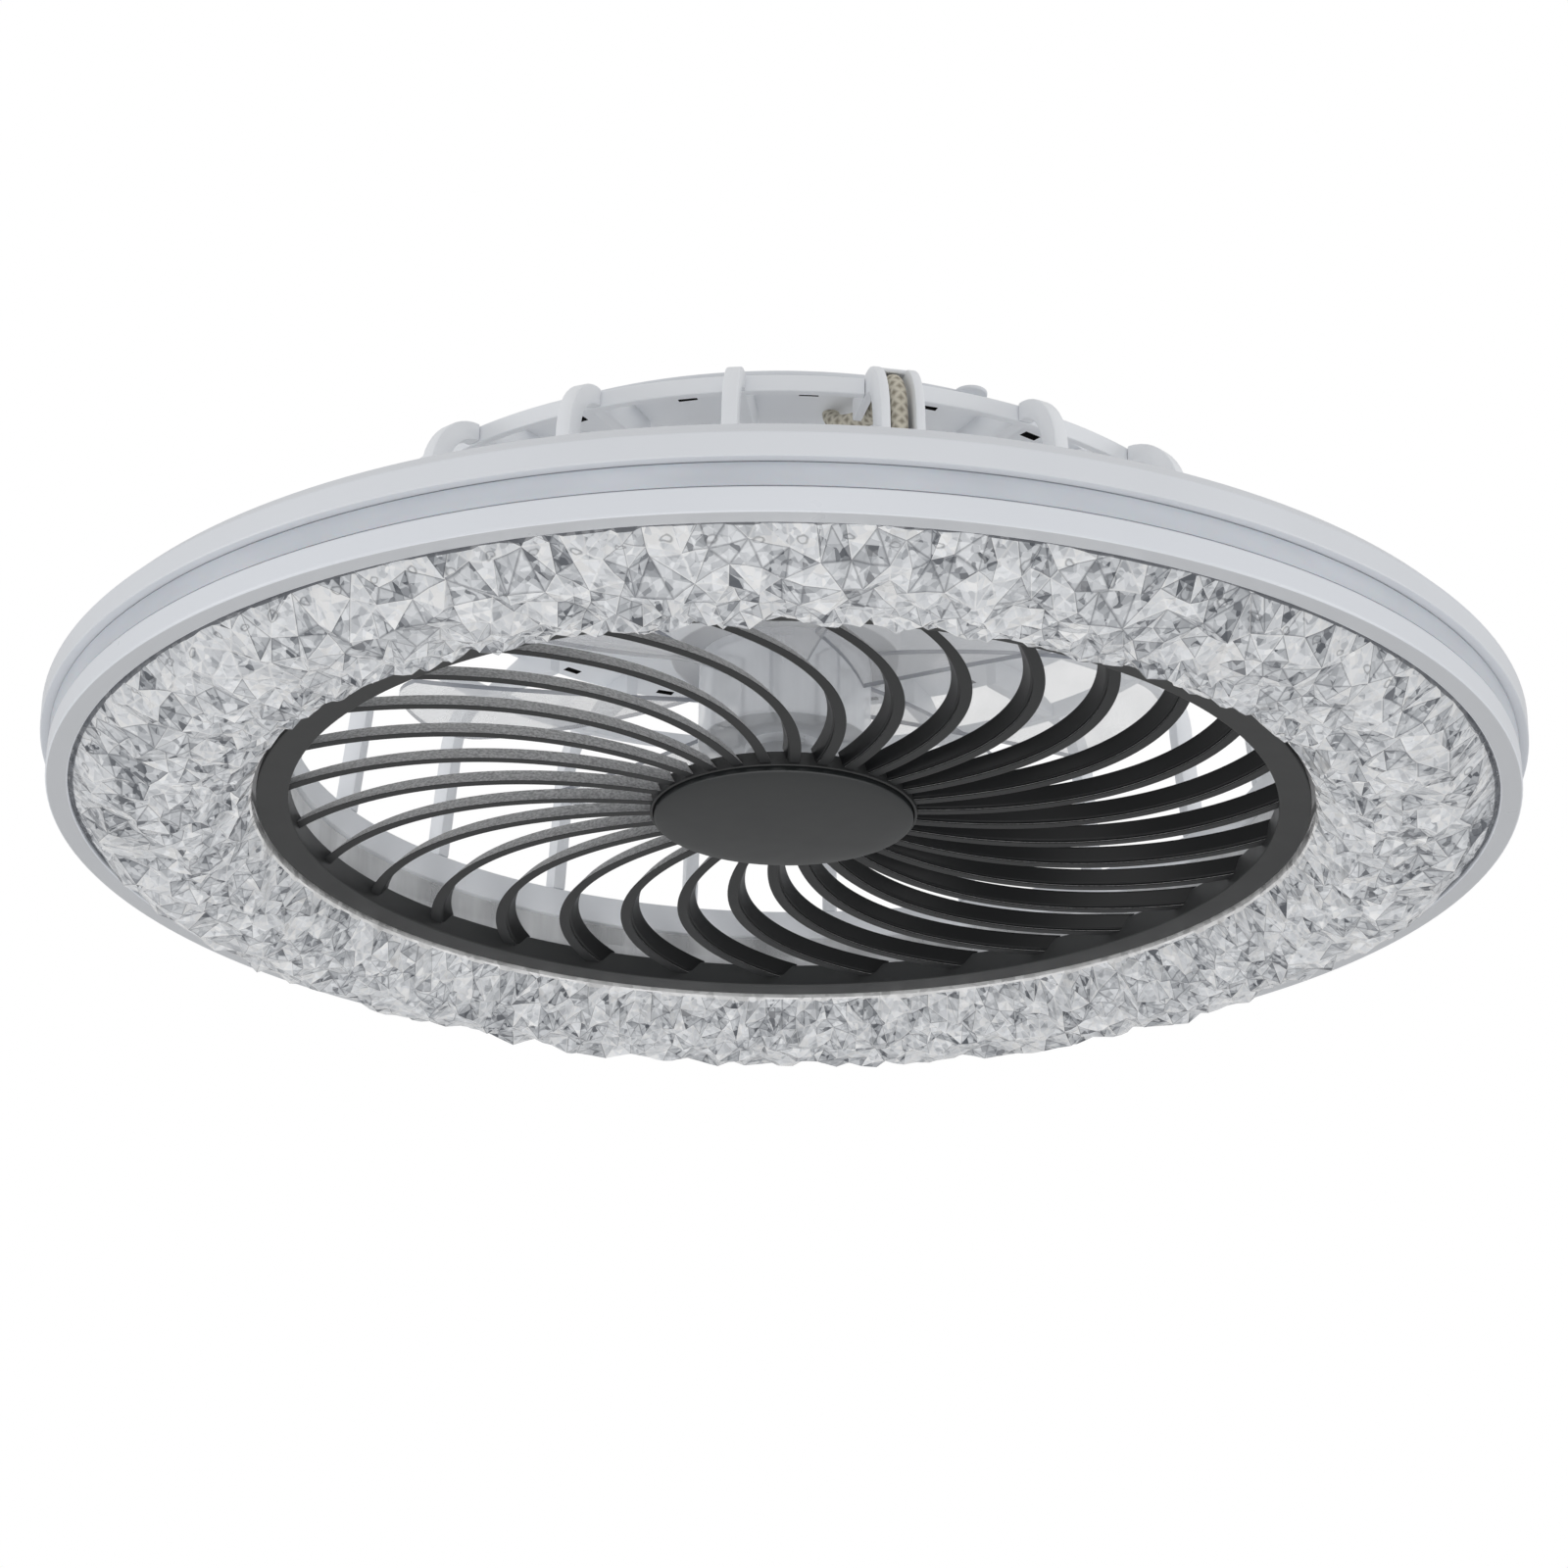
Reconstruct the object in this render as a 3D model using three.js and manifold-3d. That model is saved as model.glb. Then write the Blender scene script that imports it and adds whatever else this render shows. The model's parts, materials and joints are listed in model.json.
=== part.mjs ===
// Enclosed ceiling fan: a low fan inside a ring lamp, in millimetres with +Z up.
// The origin is the centre of the ceiling plate's top face, so the whole fan hangs below it.
// Heights are counted up from the lip under the lamp ring, and one group lowers them into place.
// A bearing is an angle about Z, counted from the near side (-Y) towards +X.

import * as THREE from 'three';
import { mergeVertices } from 'three/addons/utils/BufferGeometryUtils.js';
import Module from 'manifold-3d';

const wasm = await Module();
wasm.setup();

// Whole fan
const LAMP_RADIUS = 275;
const LAMP_WIDTH = 77;
const LIP_DROP = 138;
const SEAT_GAP = 0.3;
const OVERRUN = 2;
const RING_STEPS = 54;
const FRAME_STEPS = 42;
const DRUM_STEPS = 24;
const SMALL_STEPS = 12;

// Lamp ring
const TRIM_HEIGHT = 9;
const TRIM_WALL = 2;
const TRIM_ROUND = 0.8;
const LIP_WIDTH = 8.2;
const LIP_THICKNESS = 2.4;
const DIFFUSER_HEIGHT = 8.3;
const DIFFUSER_WALL = 2.5;
const DIFFUSER_INSET = 0.4;
const BAND_HEIGHT = 8.6;
const BAND_OVERHANG = 3.2;
const CHAMFER = 5.5;
const SHELL_WALL = 2.2;
const SHELL_CLEARANCE = 1;
const TRAY_WALL = 2;
const TRAY_CLEARANCE = 2;
const TRAY_INSET = 8.3;
const TRAY_FLOOR_HEIGHT = 18;
const TRAY_SKIRT_HEIGHT = 6;
const LEDGE_HEIGHT = 9.1;
const POST_RADIUS = 4;
const BOARD_THICKNESS = 1.6;
const BOARD_MARGIN = 6;
const BOARD_INSET = 8.7;
const CHIP_SIZE = 3.5;
const CHIP_HEIGHT = 0.9;
const CHIPS_PER_ROW = 12;

// Crystal ring
const CRYSTAL_INSET = 1.8;
const CRYSTAL_PLATE = 2.5;
const CRYSTAL_SEAT = 4.5;
const CRYSTAL_DROP = 19;
const CRYSTAL_RIM_DROP = 1.2;
const CRYSTAL_COLUMNS = 66;
const CRYSTAL_ROWS = 4;
const CRYSTAL_CLEARANCE = 0.8;
const VALLEY_share = 0.42;
const JITTER_share = 0.26;

// Grille
const FLANGE_HEIGHT = 2.5;
const FLANGE_WIDTH = 12;
const FLANGE_THICKNESS = 2.5;
const SKIRT_WALL = 2.2;
const SKIRT_HEIGHT = 9;
const VANE_COUNT = 30;
const VANE_STEPS = 7;
const VANE_FOOT = 4.4;
const VANE_CREST = 2.2;
const VANE_LIFT = 3.7;
const VANE_ARCH = 1;
const VANE_RISE = 6.2;
const VANE_LEAN = 3.5;
const VANE_TWIST = 1.8;
const VANE_PHASE = THREE.MathUtils.degToRad(0.9);
const VANE_SWEEP = THREE.MathUtils.degToRad(27.4);
const VANE_CURVE = 1.7;
const VANE_END_share = 1.06;
const STEP_share = 0.01;
const COLLAR_RADIUS = 53;
const COLLAR_WALL = 3.6;
const COLLAR_LIFT = 2.1;
const COLLAR_HEIGHT = 7;
const COLLAR_FLOOR = 2;
const CAP_THICKNESS = 3;
const CAP_DOME = 1.6;
const MAGNET_WIDTH = 5.4;

// Inner wall and cage
const INNER_WALL = 2;
const INNER_WALL_CLEARANCE = 0.8;
const INNER_WALL_HEIGHT = 18.7;
const CAGE_RING_WIDTH = 3.8;
const CAGE_RING_HEIGHT = 11.7;
const CAGE_FLANGE_WIDTH = 15;
const STRUT_COUNT = 20;
const STRUT_PITCH = 2 * Math.PI / STRUT_COUNT;
const FIRST_BEARING = THREE.MathUtils.degToRad(12);
const STRUT_WIDTH = 5.6;
const STRUT_DEPTH = 8;
const STRUT_FOOT_REACH = 4.6;
const STRUT_INSET = 0.6;
const STRUT_SHOULDER = 79;
const STRUT_CROWN = 0.5;
const ARC_STEPS = 5;
const CONDUIT_WIDTH = 15.6;
const CONDUIT_CHEEK = 3.3;
const CONDUIT_DEPTH = 13;
const CONDUIT_WEB = 1.6;
const CONDUIT_BAR = 1.6;
const CONDUIT_CROWN = 2.2;
const SLEEVE_RADIUS = 3;
const SLEEVE_STEPS = 20;
const LEAD_HOLE_SIDE = 10.6;
const LEAD_HOLE_INSET = 66;

// Hoop, pan and canopy
const HOOP_INSET = 24;
const HOOP_WALL = 3.2;
const HOOP_BOTTOM = 99;
const HOOP_HEIGHT = 6.4;
const RIB_SPAN = 21;
const PAN_BOTTOM = 112.4;
const PAN_FLOOR = 2;
const PAN_WALL = 2.2;
const PAN_HEIGHT = 3.6;
const RIB_WIDTH = 5;
const RIB_REACH = 20;
const RIB_DEPTH = 4.6;
const RIB_RISE = 2.4;
const SLOT_LENGTH = 7;
const SLOT_WIDTH = 3.6;
const SLOT_INSET = 6.5;
const SLOTS_PER_SIDE = 5;
const SLOT_PITCH = THREE.MathUtils.degToRad(18);
const SLOT_BEARING = THREE.MathUtils.degToRad(3.1);
const LID_THICKNESS = 1.9;
const CANOPY_RADIUS = 92;
const CANOPY_WALL = 2.2;
const CEILING_GAP = 0.8;
const EAR_RADIUS = 6;
const EAR_REACH = 0.5;
const EAR_BEARING = THREE.MathUtils.degToRad(26.5);
const EAR_COUNT = 3;
const PLATE_THICKNESS = 2.2;
const PLATE_CLEARANCE = 0.5;
const TAB_WIDTH = 16;
const TAB_HEIGHT = 11;
const TAB_THICKNESS = 2;
const ANCHOR_SPACING = 88;
const ANCHOR_SLOT_LENGTH = 22;
const ANCHOR_SLOT_WIDTH = 5.5;
const WIRE_HOLE_RADIUS = 9;
const WIRE_HOLE_OFFSET = 42;

// Fasteners
const SCREW_RADIUS = 1.8;
const SCREW_HEAD_RADIUS = 3.6;
const SCREW_HEAD_HEIGHT = 2;
const HOLE_CLEARANCE = 0.3;
const LAMP_SCREW_COUNT = 3;
const CANOPY_SCREW_COUNT = 2;

// Motor
const SHAFT_RADIUS = 4;
const RUNNING_GAP = 0.1;
const BEARING_RADIUS = 11;
const BEARING_HEIGHT = 7;
const BASE_RADIUS = 40;
const BASE_THICKNESS = 2.5;
const TUBE_WALL = 4;
const CAN_RADIUS = 44;
const CAN_WALL = 2.5;
const CAN_BOTTOM = 70;
const CAN_HEIGHT = 34;
const BOSS_RADIUS = 18;
const BOSS_BOTTOM = 37.3;
const SHOULDER_RADIUS = 9;
const MAGNET_RING_WALL = 3;
const AIR_GAP = 1;
const CORE_HEIGHT = 16;
const CORE_TEETH = 12;
const CORE_LIFT = 6;
const TOOTH_DEPTH = 14;
const TOOTH_share = 0.55;
const WINDING_HEIGHT = 4.5;
const WINDING_MARGIN = 1.3;
const WINDING_DEPTH = 9;
const COIL_WIDTH = 3.6;
const MOTOR_NUT_RADIUS = 9;
const MOTOR_NUT_HEIGHT = 6;
const SHAFT_OVERRUN = 1.5;

// Fan
const BLADE_COUNT = 7;
const TIP_INSET = 41;
const FAN_HUB_RADIUS = 33;
const FAN_HUB_BOTTOM = 34.6;
const FAN_HUB_WALL = 2.4;
const BLADE_THICKNESS = 1.8;
const BLADE_HEIGHT = 61;
const BLADE_PITCH_RISE = 15;
const BLADE_SWEEP = THREE.MathUtils.degToRad(10);
const BLADE_ROOT_HALF = THREE.MathUtils.degToRad(22);
const BLADE_TIP_HALF = THREE.MathUtils.degToRad(15.5);
const BLADE_PHASE = THREE.MathUtils.degToRad(41.6);
const BLADE_ROWS = 4;
const BLADE_COLUMNS = 4;
const CORNER_share = 0.3;
const NUT_RADIUS = 15;
const NUT_HEIGHT = 3.8;
const STUB_RADIUS = 11;
const STUB_HEIGHT = 4.4;

// Electrics in the canopy
const BOX_LENGTH = 84;
const BOX_WIDTH = 44;
const BOX_HEIGHT = 17;
const BOX_OFFSET = 34;
const TERMINAL_LENGTH = 32;
const TERMINAL_WIDTH = 16;
const TERMINAL_HEIGHT = 12;
const TERMINAL_OFFSET = 30;

// Levels and radii that follow from the sizes above
const diffuserBottom = TRIM_HEIGHT + SEAT_GAP;
const bandBottom = diffuserBottom + DIFFUSER_HEIGHT + SEAT_GAP;
const bandTop = bandBottom + BAND_HEIGHT;
const shellTop = bandTop + CHAMFER;
const shellUnder = shellTop - SHELL_WALL;
const shellRadius = LAMP_RADIUS + BAND_OVERHANG;
const lipInner = LAMP_RADIUS - LIP_WIDTH;
const flangeTop = FLANGE_HEIGHT + FLANGE_THICKNESS;
const grilleRadius = LAMP_RADIUS - LAMP_WIDTH;
const crystalInner = grilleRadius + CRYSTAL_INSET;
const trayInner = grilleRadius + TRAY_CLEARANCE;
const trayOuter = LAMP_RADIUS - TRAY_INSET;
const flangeInner = grilleRadius - FLANGE_WIDTH;
const skirtOuter = flangeInner + SKIRT_WALL;
const ductRadius = skirtOuter + INNER_WALL_CLEARANCE;
const ductOuter = ductRadius + INNER_WALL;
const strutRadius = ductOuter - STRUT_INSET;
const strutFootRadius = ductOuter + STRUT_FOOT_REACH;
const hoopRadius = ductOuter - HOOP_INSET;
const panRadius = hoopRadius - RIB_SPAN;
const fanRadius = ductOuter - TIP_INSET;
const innerWallBottom = flangeTop + SEAT_GAP;
const cageRingBottom = innerWallBottom + INNER_WALL_HEIGHT + SEAT_GAP;
const cageRingTop = cageRingBottom + CAGE_RING_HEIGHT;
const cageFlangeBottom = shellTop + SEAT_GAP;
const strutFoot = cageRingTop + SEAT_GAP;
const hoopTop = HOOP_BOTTOM + HOOP_HEIGHT;
const hoopInner = hoopRadius - HOOP_WALL;
const panFloorTop = PAN_BOTTOM + PAN_FLOOR;
const panTop = PAN_BOTTOM + PAN_HEIGHT;
const lidBottom = panTop + SEAT_GAP;
const lidTop = lidBottom + LID_THICKNESS;
const canopyTop = LIP_DROP - CEILING_GAP;
const plateRadius = CANOPY_RADIUS - CANOPY_WALL - PLATE_CLEARANCE;
const plateBottom = LIP_DROP - PLATE_THICKNESS;
const baseTop = PAN_BOTTOM - SEAT_GAP;
const baseBottom = baseTop - BASE_THICKNESS;
const tubeRadius = SHAFT_RADIUS + SEAT_GAP + TUBE_WALL;
const canTop = CAN_BOTTOM + CAN_HEIGHT;
const canInner = CAN_RADIUS - CAN_WALL;
const canFloorTop = CAN_BOTTOM + CAN_WALL;
const coreBottom = canFloorTop + CORE_LIFT + WINDING_HEIGHT;
const coreTop = coreBottom + CORE_HEIGHT;
const magnetRingOuter = canInner - SEAT_GAP;
const coreRadius = magnetRingOuter - MAGNET_RING_WALL - AIR_GAP;
const seatRadius = BEARING_RADIUS + SEAT_GAP;
const conduitTop = hoopTop + CONDUIT_CROWN;

// Materials, with the colours of the photograph
function finish(color, roughness, metalness = 0) {
  return new THREE.MeshStandardMaterial({ color, roughness, metalness });
}

function clearFinish(color, opacity) {
  const material = finish(color, 0.1);
  material.transparent = true;
  material.opacity = opacity;
  return material;
}

const finishes = {
  white: () => finish(0xd6d8da, 0.5),
  trim: () => finish(0xdadce1, 0.42),
  diffuser: () => finish(0xc6ccd4, 0.35),
  tray: () => finish(0xe4e6e8, 0.6),
  board: () => finish(0xeceded, 0.6),
  crystal: () => clearFinish(0xd5dbe2, 0.5),
  clear: () => clearFinish(0xdfe4ea, 0.35),
  black: () => finish(0x4a4d4e, 0.55),
  cap: () => finish(0x3f4446, 0.5),
  steel: () => finish(0x9a9da0, 0.35, 0.9),
  motor: () => finish(0xb9bcbf, 0.45, 0.4),
  magnet: () => finish(0x55585b, 0.5, 0.6),
  copper: () => finish(0xa6653a, 0.5, 0.7),
  sleeve: () => finish(0xcfc7b2, 0.9),
  box: () => finish(0xe9eaeb, 0.55),
};

// Mesh helpers
function welded(geometry) {
  geometry.deleteAttribute('normal');
  geometry.deleteAttribute('uv');
  const merged = mergeVertices(geometry);
  const source = merged.index.array;
  const kept = [];
  for (let i = 0; i < source.length; i += 3) {
    const [a, b, c] = [source[i], source[i + 1], source[i + 2]];
    if (a !== b && b !== c && c !== a) kept.push(a, b, c);
  }
  merged.setIndex(kept);
  return merged;
}

function solidOf(geometry) {
  const mesh = welded(geometry);
  return new wasm.Manifold(new wasm.Mesh({
    numProp: 3,
    vertProperties: new Float32Array(mesh.attributes.position.array),
    triVerts: new Uint32Array(mesh.index.array),
  }));
}

function geometryOf(solid) {
  const mesh = solid.getMesh();
  const geometry = new THREE.BufferGeometry();
  geometry.setAttribute('position', new THREE.BufferAttribute(mesh.vertProperties, 3));
  geometry.setIndex(new THREE.BufferAttribute(mesh.triVerts, 1));
  return geometry;
}

function joined(geometries) {
  return geometryOf(geometries.map(solidOf).reduce((whole, next) => whole.add(next)));
}

function cut(geometry, cutters) {
  return geometryOf(cutters.map(solidOf).reduce((whole, next) => whole.subtract(next), solidOf(geometry)));
}

// A ring or disc: the outline is [radius, height] pairs, anticlockwise with the radius to the right
function turned(outline, steps = RING_STEPS) {
  const points = outline.map(([radius, height]) => new THREE.Vector2(radius, height));
  const onAxis = outline[0][0] === 0 && outline[outline.length - 1][0] === 0;
  if (!onAxis) points.push(points[0].clone());
  return welded(new THREE.LatheGeometry(points, steps).rotateX(Math.PI / 2));
}

function ring(inner, outer, bottom, top, steps = RING_STEPS) {
  return turned([[inner, bottom], [outer, bottom], [outer, top], [inner, top]], steps);
}

function post(radius, bottom, top, steps = SMALL_STEPS) {
  return turned([[0, bottom], [radius, bottom], [radius, top], [0, top]], steps);
}

function block(length, width, bottom, top) {
  return new THREE.BoxGeometry(length, width, top - bottom).translate(0, 0, (bottom + top) / 2);
}

// A plate that stands in a radial plane: outline in [radius, height], width across the bearing
function radialPlate(outline, width, shift = 0) {
  const shape = new THREE.Shape(outline.map(([radius, height]) => new THREE.Vector2(radius, height)));
  const plate = new THREE.ExtrudeGeometry(shape, { depth: width, bevelEnabled: false });
  const frame = new THREE.Matrix4().makeBasis(
    new THREE.Vector3(0, -1, 0),
    new THREE.Vector3(0, 0, 1),
    new THREE.Vector3(-1, 0, 0),
  );
  return welded(plate.translate(0, 0, shift - width / 2).applyMatrix4(frame));
}

function atBearing(geometry, bearing, radius = 0) {
  return geometry.clone().translate(0, -radius, 0).rotateZ(bearing);
}

// Copies of one geometry, evenly spaced round the axis
function aroundAxis(geometry, count, radius, firstBearing = 0) {
  const copies = [];
  for (let i = 0; i < count; i += 1) {
    copies.push(atBearing(geometry, firstBearing + i * 2 * Math.PI / count, radius));
  }
  return copies;
}

// Points of an elliptical arc about a centre, between two angles in quarter turns
function arc(centre, radii, from, to, steps = ARC_STEPS) {
  const points = [];
  for (let i = 0; i <= steps; i += 1) {
    const angle = (from + (to - from) * i / steps) * Math.PI / 2;
    points.push([centre[0] + radii[0] * Math.cos(angle), centre[1] + radii[1] * Math.sin(angle)]);
  }
  return points;
}

const fan = new THREE.Group();
const hung = new THREE.Group();
hung.position.z = -LIP_DROP;
fan.add(hung);

function addPiece(name, geometry, kind, bearing = 0) {
  const mesh = new THREE.Mesh(geometry, finishes[kind]());
  mesh.name = name;
  mesh.rotation.z = bearing;
  hung.add(mesh);
  return mesh;
}

// A pan-head screw whose head sits under (or, turned over, above) what it clamps
function screw(seat, tip) {
  const headEnd = seat + Math.sign(seat - tip) * SCREW_HEAD_HEIGHT;
  const outline = [[0, tip], [SCREW_RADIUS, tip], [SCREW_RADIUS, seat], [SCREW_HEAD_RADIUS, seat],
    [SCREW_HEAD_RADIUS, headEnd], [0, headEnd]];
  return turned(tip < seat ? outline : outline.reverse(), SMALL_STEPS);
}

function screwHole(bottom, top) {
  return post(SCREW_RADIUS + HOLE_CLEARANCE, bottom - OVERRUN, top + OVERRUN);
}

// Lamp ring: shell, side diffuser, trim, tray and boards
const lampScrewRadius = ductOuter + SHELL_CLEARANCE + SCREW_HEAD_RADIUS + OVERRUN;
const lampScrewBearing = FIRST_BEARING + STRUT_PITCH / 2;
const leadRadius = lampScrewRadius;
const leadEnd = TRAY_FLOOR_HEIGHT + TRAY_WALL + SEAT_GAP;

// Holes for the lamp screws and the lamp lead, through the shell and the cage's flange
function lampHoles(bottom, top) {
  const leadHole = post(SLEEVE_RADIUS + 2 * SEAT_GAP, bottom - OVERRUN, top + OVERRUN);
  return [
    ...aroundAxis(screwHole(bottom, top), LAMP_SCREW_COUNT, lampScrewRadius, lampScrewBearing),
    atBearing(leadHole, FIRST_BEARING, leadRadius),
  ];
}

function upperShell() {
  const inner = ductOuter + SHELL_CLEARANCE;
  const shell = turned([
    [shellRadius - SHELL_WALL, bandBottom],
    [shellRadius, bandBottom],
    [shellRadius, bandTop],
    [shellRadius - CHAMFER, shellTop],
    [inner, shellTop],
    [inner, shellUnder],
    [shellRadius - SHELL_WALL - CHAMFER, shellUnder],
    [shellRadius - SHELL_WALL, bandTop],
  ]);
  return cut(shell, lampHoles(shellUnder, shellTop));
}

function lowerTrim() {
  return turned([
    [lipInner, 0],
    [LAMP_RADIUS - TRIM_ROUND, 0],
    [LAMP_RADIUS, TRIM_ROUND],
    [LAMP_RADIUS, TRIM_HEIGHT],
    [LAMP_RADIUS - TRIM_WALL, TRIM_HEIGHT],
    [LAMP_RADIUS - TRIM_WALL, LIP_THICKNESS],
    [lipInner, LIP_THICKNESS],
  ]);
}

function lampTray() {
  const trayTop = shellUnder - SEAT_GAP;
  const floorTop = TRAY_FLOOR_HEIGHT + TRAY_WALL;
  const ledgeInner = ductOuter + SEAT_GAP;
  const footBottom = LIP_THICKNESS + CRYSTAL_PLATE + 2 * SEAT_GAP;
  const tray = turned([
    [ledgeInner, LEDGE_HEIGHT],
    [trayInner, LEDGE_HEIGHT],
    [trayInner, footBottom],
    [trayInner + TRAY_WALL, footBottom],
    [trayInner + TRAY_WALL, TRAY_FLOOR_HEIGHT],
    [trayOuter - TRAY_WALL, TRAY_FLOOR_HEIGHT],
    [trayOuter - TRAY_WALL, TRAY_SKIRT_HEIGHT],
    [trayOuter, TRAY_SKIRT_HEIGHT],
    [trayOuter, floorTop],
    [trayInner, floorTop],
    [trayInner, LEDGE_HEIGHT + TRAY_WALL],
    [ledgeInner, LEDGE_HEIGHT + TRAY_WALL],
  ], FRAME_STEPS);
  const boss = post(POST_RADIUS, LEDGE_HEIGHT + TRAY_WALL / 2, trayTop);
  const bosses = aroundAxis(boss, LAMP_SCREW_COUNT, lampScrewRadius, lampScrewBearing);
  const pilot = post(SCREW_RADIUS + HOLE_CLEARANCE, floorTop, trayTop + OVERRUN);
  const pilots = aroundAxis(pilot, LAMP_SCREW_COUNT, lampScrewRadius, lampScrewBearing);
  return cut(joined([tray, ...bosses]), pilots);
}

const boardInner = trayInner + TRAY_WALL + BOARD_MARGIN;
const boardOuter = trayOuter - BOARD_INSET;
const boardTop = TRAY_FLOOR_HEIGHT - SEAT_GAP;
const boardBottom = boardTop - BOARD_THICKNESS;

function ledBoard() {
  const board = ring(boardInner, boardOuter, boardBottom, boardTop, FRAME_STEPS);
  const chip = block(CHIP_SIZE, CHIP_SIZE, boardBottom - CHIP_HEIGHT, boardBottom + CHIP_HEIGHT / 2);
  const innerRow = aroundAxis(chip, CHIPS_PER_ROW, boardInner + BOARD_MARGIN);
  const outerRow = aroundAxis(chip, CHIPS_PER_ROW, boardOuter - BOARD_MARGIN);
  return joined([board, ...innerRow, ...outerRow]);
}

addPiece('upper_shell', upperShell(), 'white');
addPiece('side_diffuser', ring(
  LAMP_RADIUS - DIFFUSER_INSET - DIFFUSER_WALL,
  LAMP_RADIUS - DIFFUSER_INSET,
  diffuserBottom,
  diffuserBottom + DIFFUSER_HEIGHT,
), 'diffuser');
addPiece('lower_trim', lowerTrim(), 'trim');
addPiece('lamp_tray', lampTray(), 'tray');
addPiece('led_board', ledBoard(), 'board');

// Crystal ring: a plate on the lip, with a field of uneven pyramids under it
function crystalEnvelope(share) {
  const side = Math.abs(2 * share - 1);
  return CRYSTAL_RIM_DROP + (CRYSTAL_DROP - CRYSTAL_RIM_DROP) * (1 - side ** 3);
}

// A repeatable number between -1 and 1 for each facet
function uneven(column, row, seed) {
  const wave = Math.sin(column * 12.9898 + row * 78.233 + seed * 37.719) * 43758.5453;
  return 2 * (wave - Math.floor(wave)) - 1;
}

function crystalRing() {
  const plateBottom = LIP_THICKNESS + SEAT_GAP;
  const plateTop = plateBottom + CRYSTAL_PLATE;
  const fieldOuter = lipInner - CRYSTAL_CLEARANCE;
  const seatOuter = lipInner + CRYSTAL_SEAT;
  const fieldWidth = fieldOuter - crystalInner;
  const pitch = 2 * Math.PI / CRYSTAL_COLUMNS;
  const vertices = [];
  const triangles = [];

  function addVertex(radius, bearing, height) {
    vertices.push(radius * Math.sin(bearing), -radius * Math.cos(bearing), height);
    return vertices.length / 3 - 1;
  }

  function addRing(radiusAt, bearingAt, heightAt) {
    const ids = [];
    for (let i = 0; i < CRYSTAL_COLUMNS; i += 1) {
      ids.push(addVertex(radiusAt(i), (i + bearingAt(i)) * pitch, heightAt(i)));
    }
    return ids;
  }

  function plainRing(radius, height) {
    return addRing(() => radius, () => 0, () => height);
  }

  function addBand(lower, upper) {
    for (let i = 0; i < CRYSTAL_COLUMNS; i += 1) {
      const j = (i + 1) % CRYSTAL_COLUMNS;
      triangles.push(lower[i], lower[j], upper[j], lower[i], upper[j], upper[i]);
    }
  }

  const topInner = plainRing(crystalInner, plateTop);
  const topOuter = plainRing(seatOuter, plateTop);
  const seatEdge = plainRing(seatOuter, plateBottom);
  const rows = [];
  for (let row = 0; row <= CRYSTAL_ROWS; row += 1) {
    const share = 1 - row / CRYSTAL_ROWS;
    const isEdge = row === 0 || row === CRYSTAL_ROWS;
    const amount = isEdge ? 0 : JITTER_share;
    rows.push(addRing(
      (i) => crystalInner + fieldWidth * (share + amount * uneven(i, row, 1) / CRYSTAL_ROWS),
      (i) => amount * uneven(i, row, 2) + (row % 2) / 2,
      () => plateBottom - (isEdge ? 0 : VALLEY_share * crystalEnvelope(share)),
    ));
  }
  addBand(topOuter, topInner);
  addBand(seatEdge, topOuter);
  addBand(rows[0], seatEdge);
  addBand(topInner, rows[CRYSTAL_ROWS]);

  function meanOf(ids, axis) {
    return ids.reduce((sum, id) => sum + vertices[3 * id + axis], 0) / ids.length;
  }

  for (let row = 0; row < CRYSTAL_ROWS; row += 1) {
    const outer = rows[row];
    const inner = rows[row + 1];
    for (let i = 0; i < CRYSTAL_COLUMNS; i += 1) {
      const j = (i + 1) % CRYSTAL_COLUMNS;
      const corners = [inner[i], inner[j], outer[j], outer[i]];
      const share = 1 - (row + 0.5) / CRYSTAL_ROWS;
      const drop = crystalEnvelope(share) * (1 - JITTER_share / 2 + JITTER_share / 2 * uneven(i, row, 3));
      const peak = vertices.length / 3;
      vertices.push(meanOf(corners, 0), meanOf(corners, 1), plateBottom - drop);
      for (let k = 0; k < corners.length; k += 1) {
        triangles.push(corners[k], corners[(k + 1) % corners.length], peak);
      }
    }
  }
  const geometry = new THREE.BufferGeometry();
  geometry.setAttribute('position', new THREE.Float32BufferAttribute(vertices, 3));
  geometry.setIndex(triangles);
  return geometry;
}

addPiece('crystal_ring', crystalRing(), 'crystal');

// Grille: flange, skirt, swept vanes and hub collar in one moulding
const collarBottom = FLANGE_HEIGHT + COLLAR_LIFT;
const collarTop = collarBottom + COLLAR_HEIGHT;
const collarInner = COLLAR_RADIUS - COLLAR_WALL;

const skirtMiddle = flangeInner + SKIRT_WALL / 2;

function vanePoint(share) {
  const start = COLLAR_RADIUS - COLLAR_WALL / 2;
  const end = skirtMiddle;
  const radius = start + (end - start) * share;
  const bearing = VANE_SWEEP * (1 - share ** VANE_CURVE);
  return new THREE.Vector2(radius * Math.sin(bearing), -radius * Math.cos(bearing));
}

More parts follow.
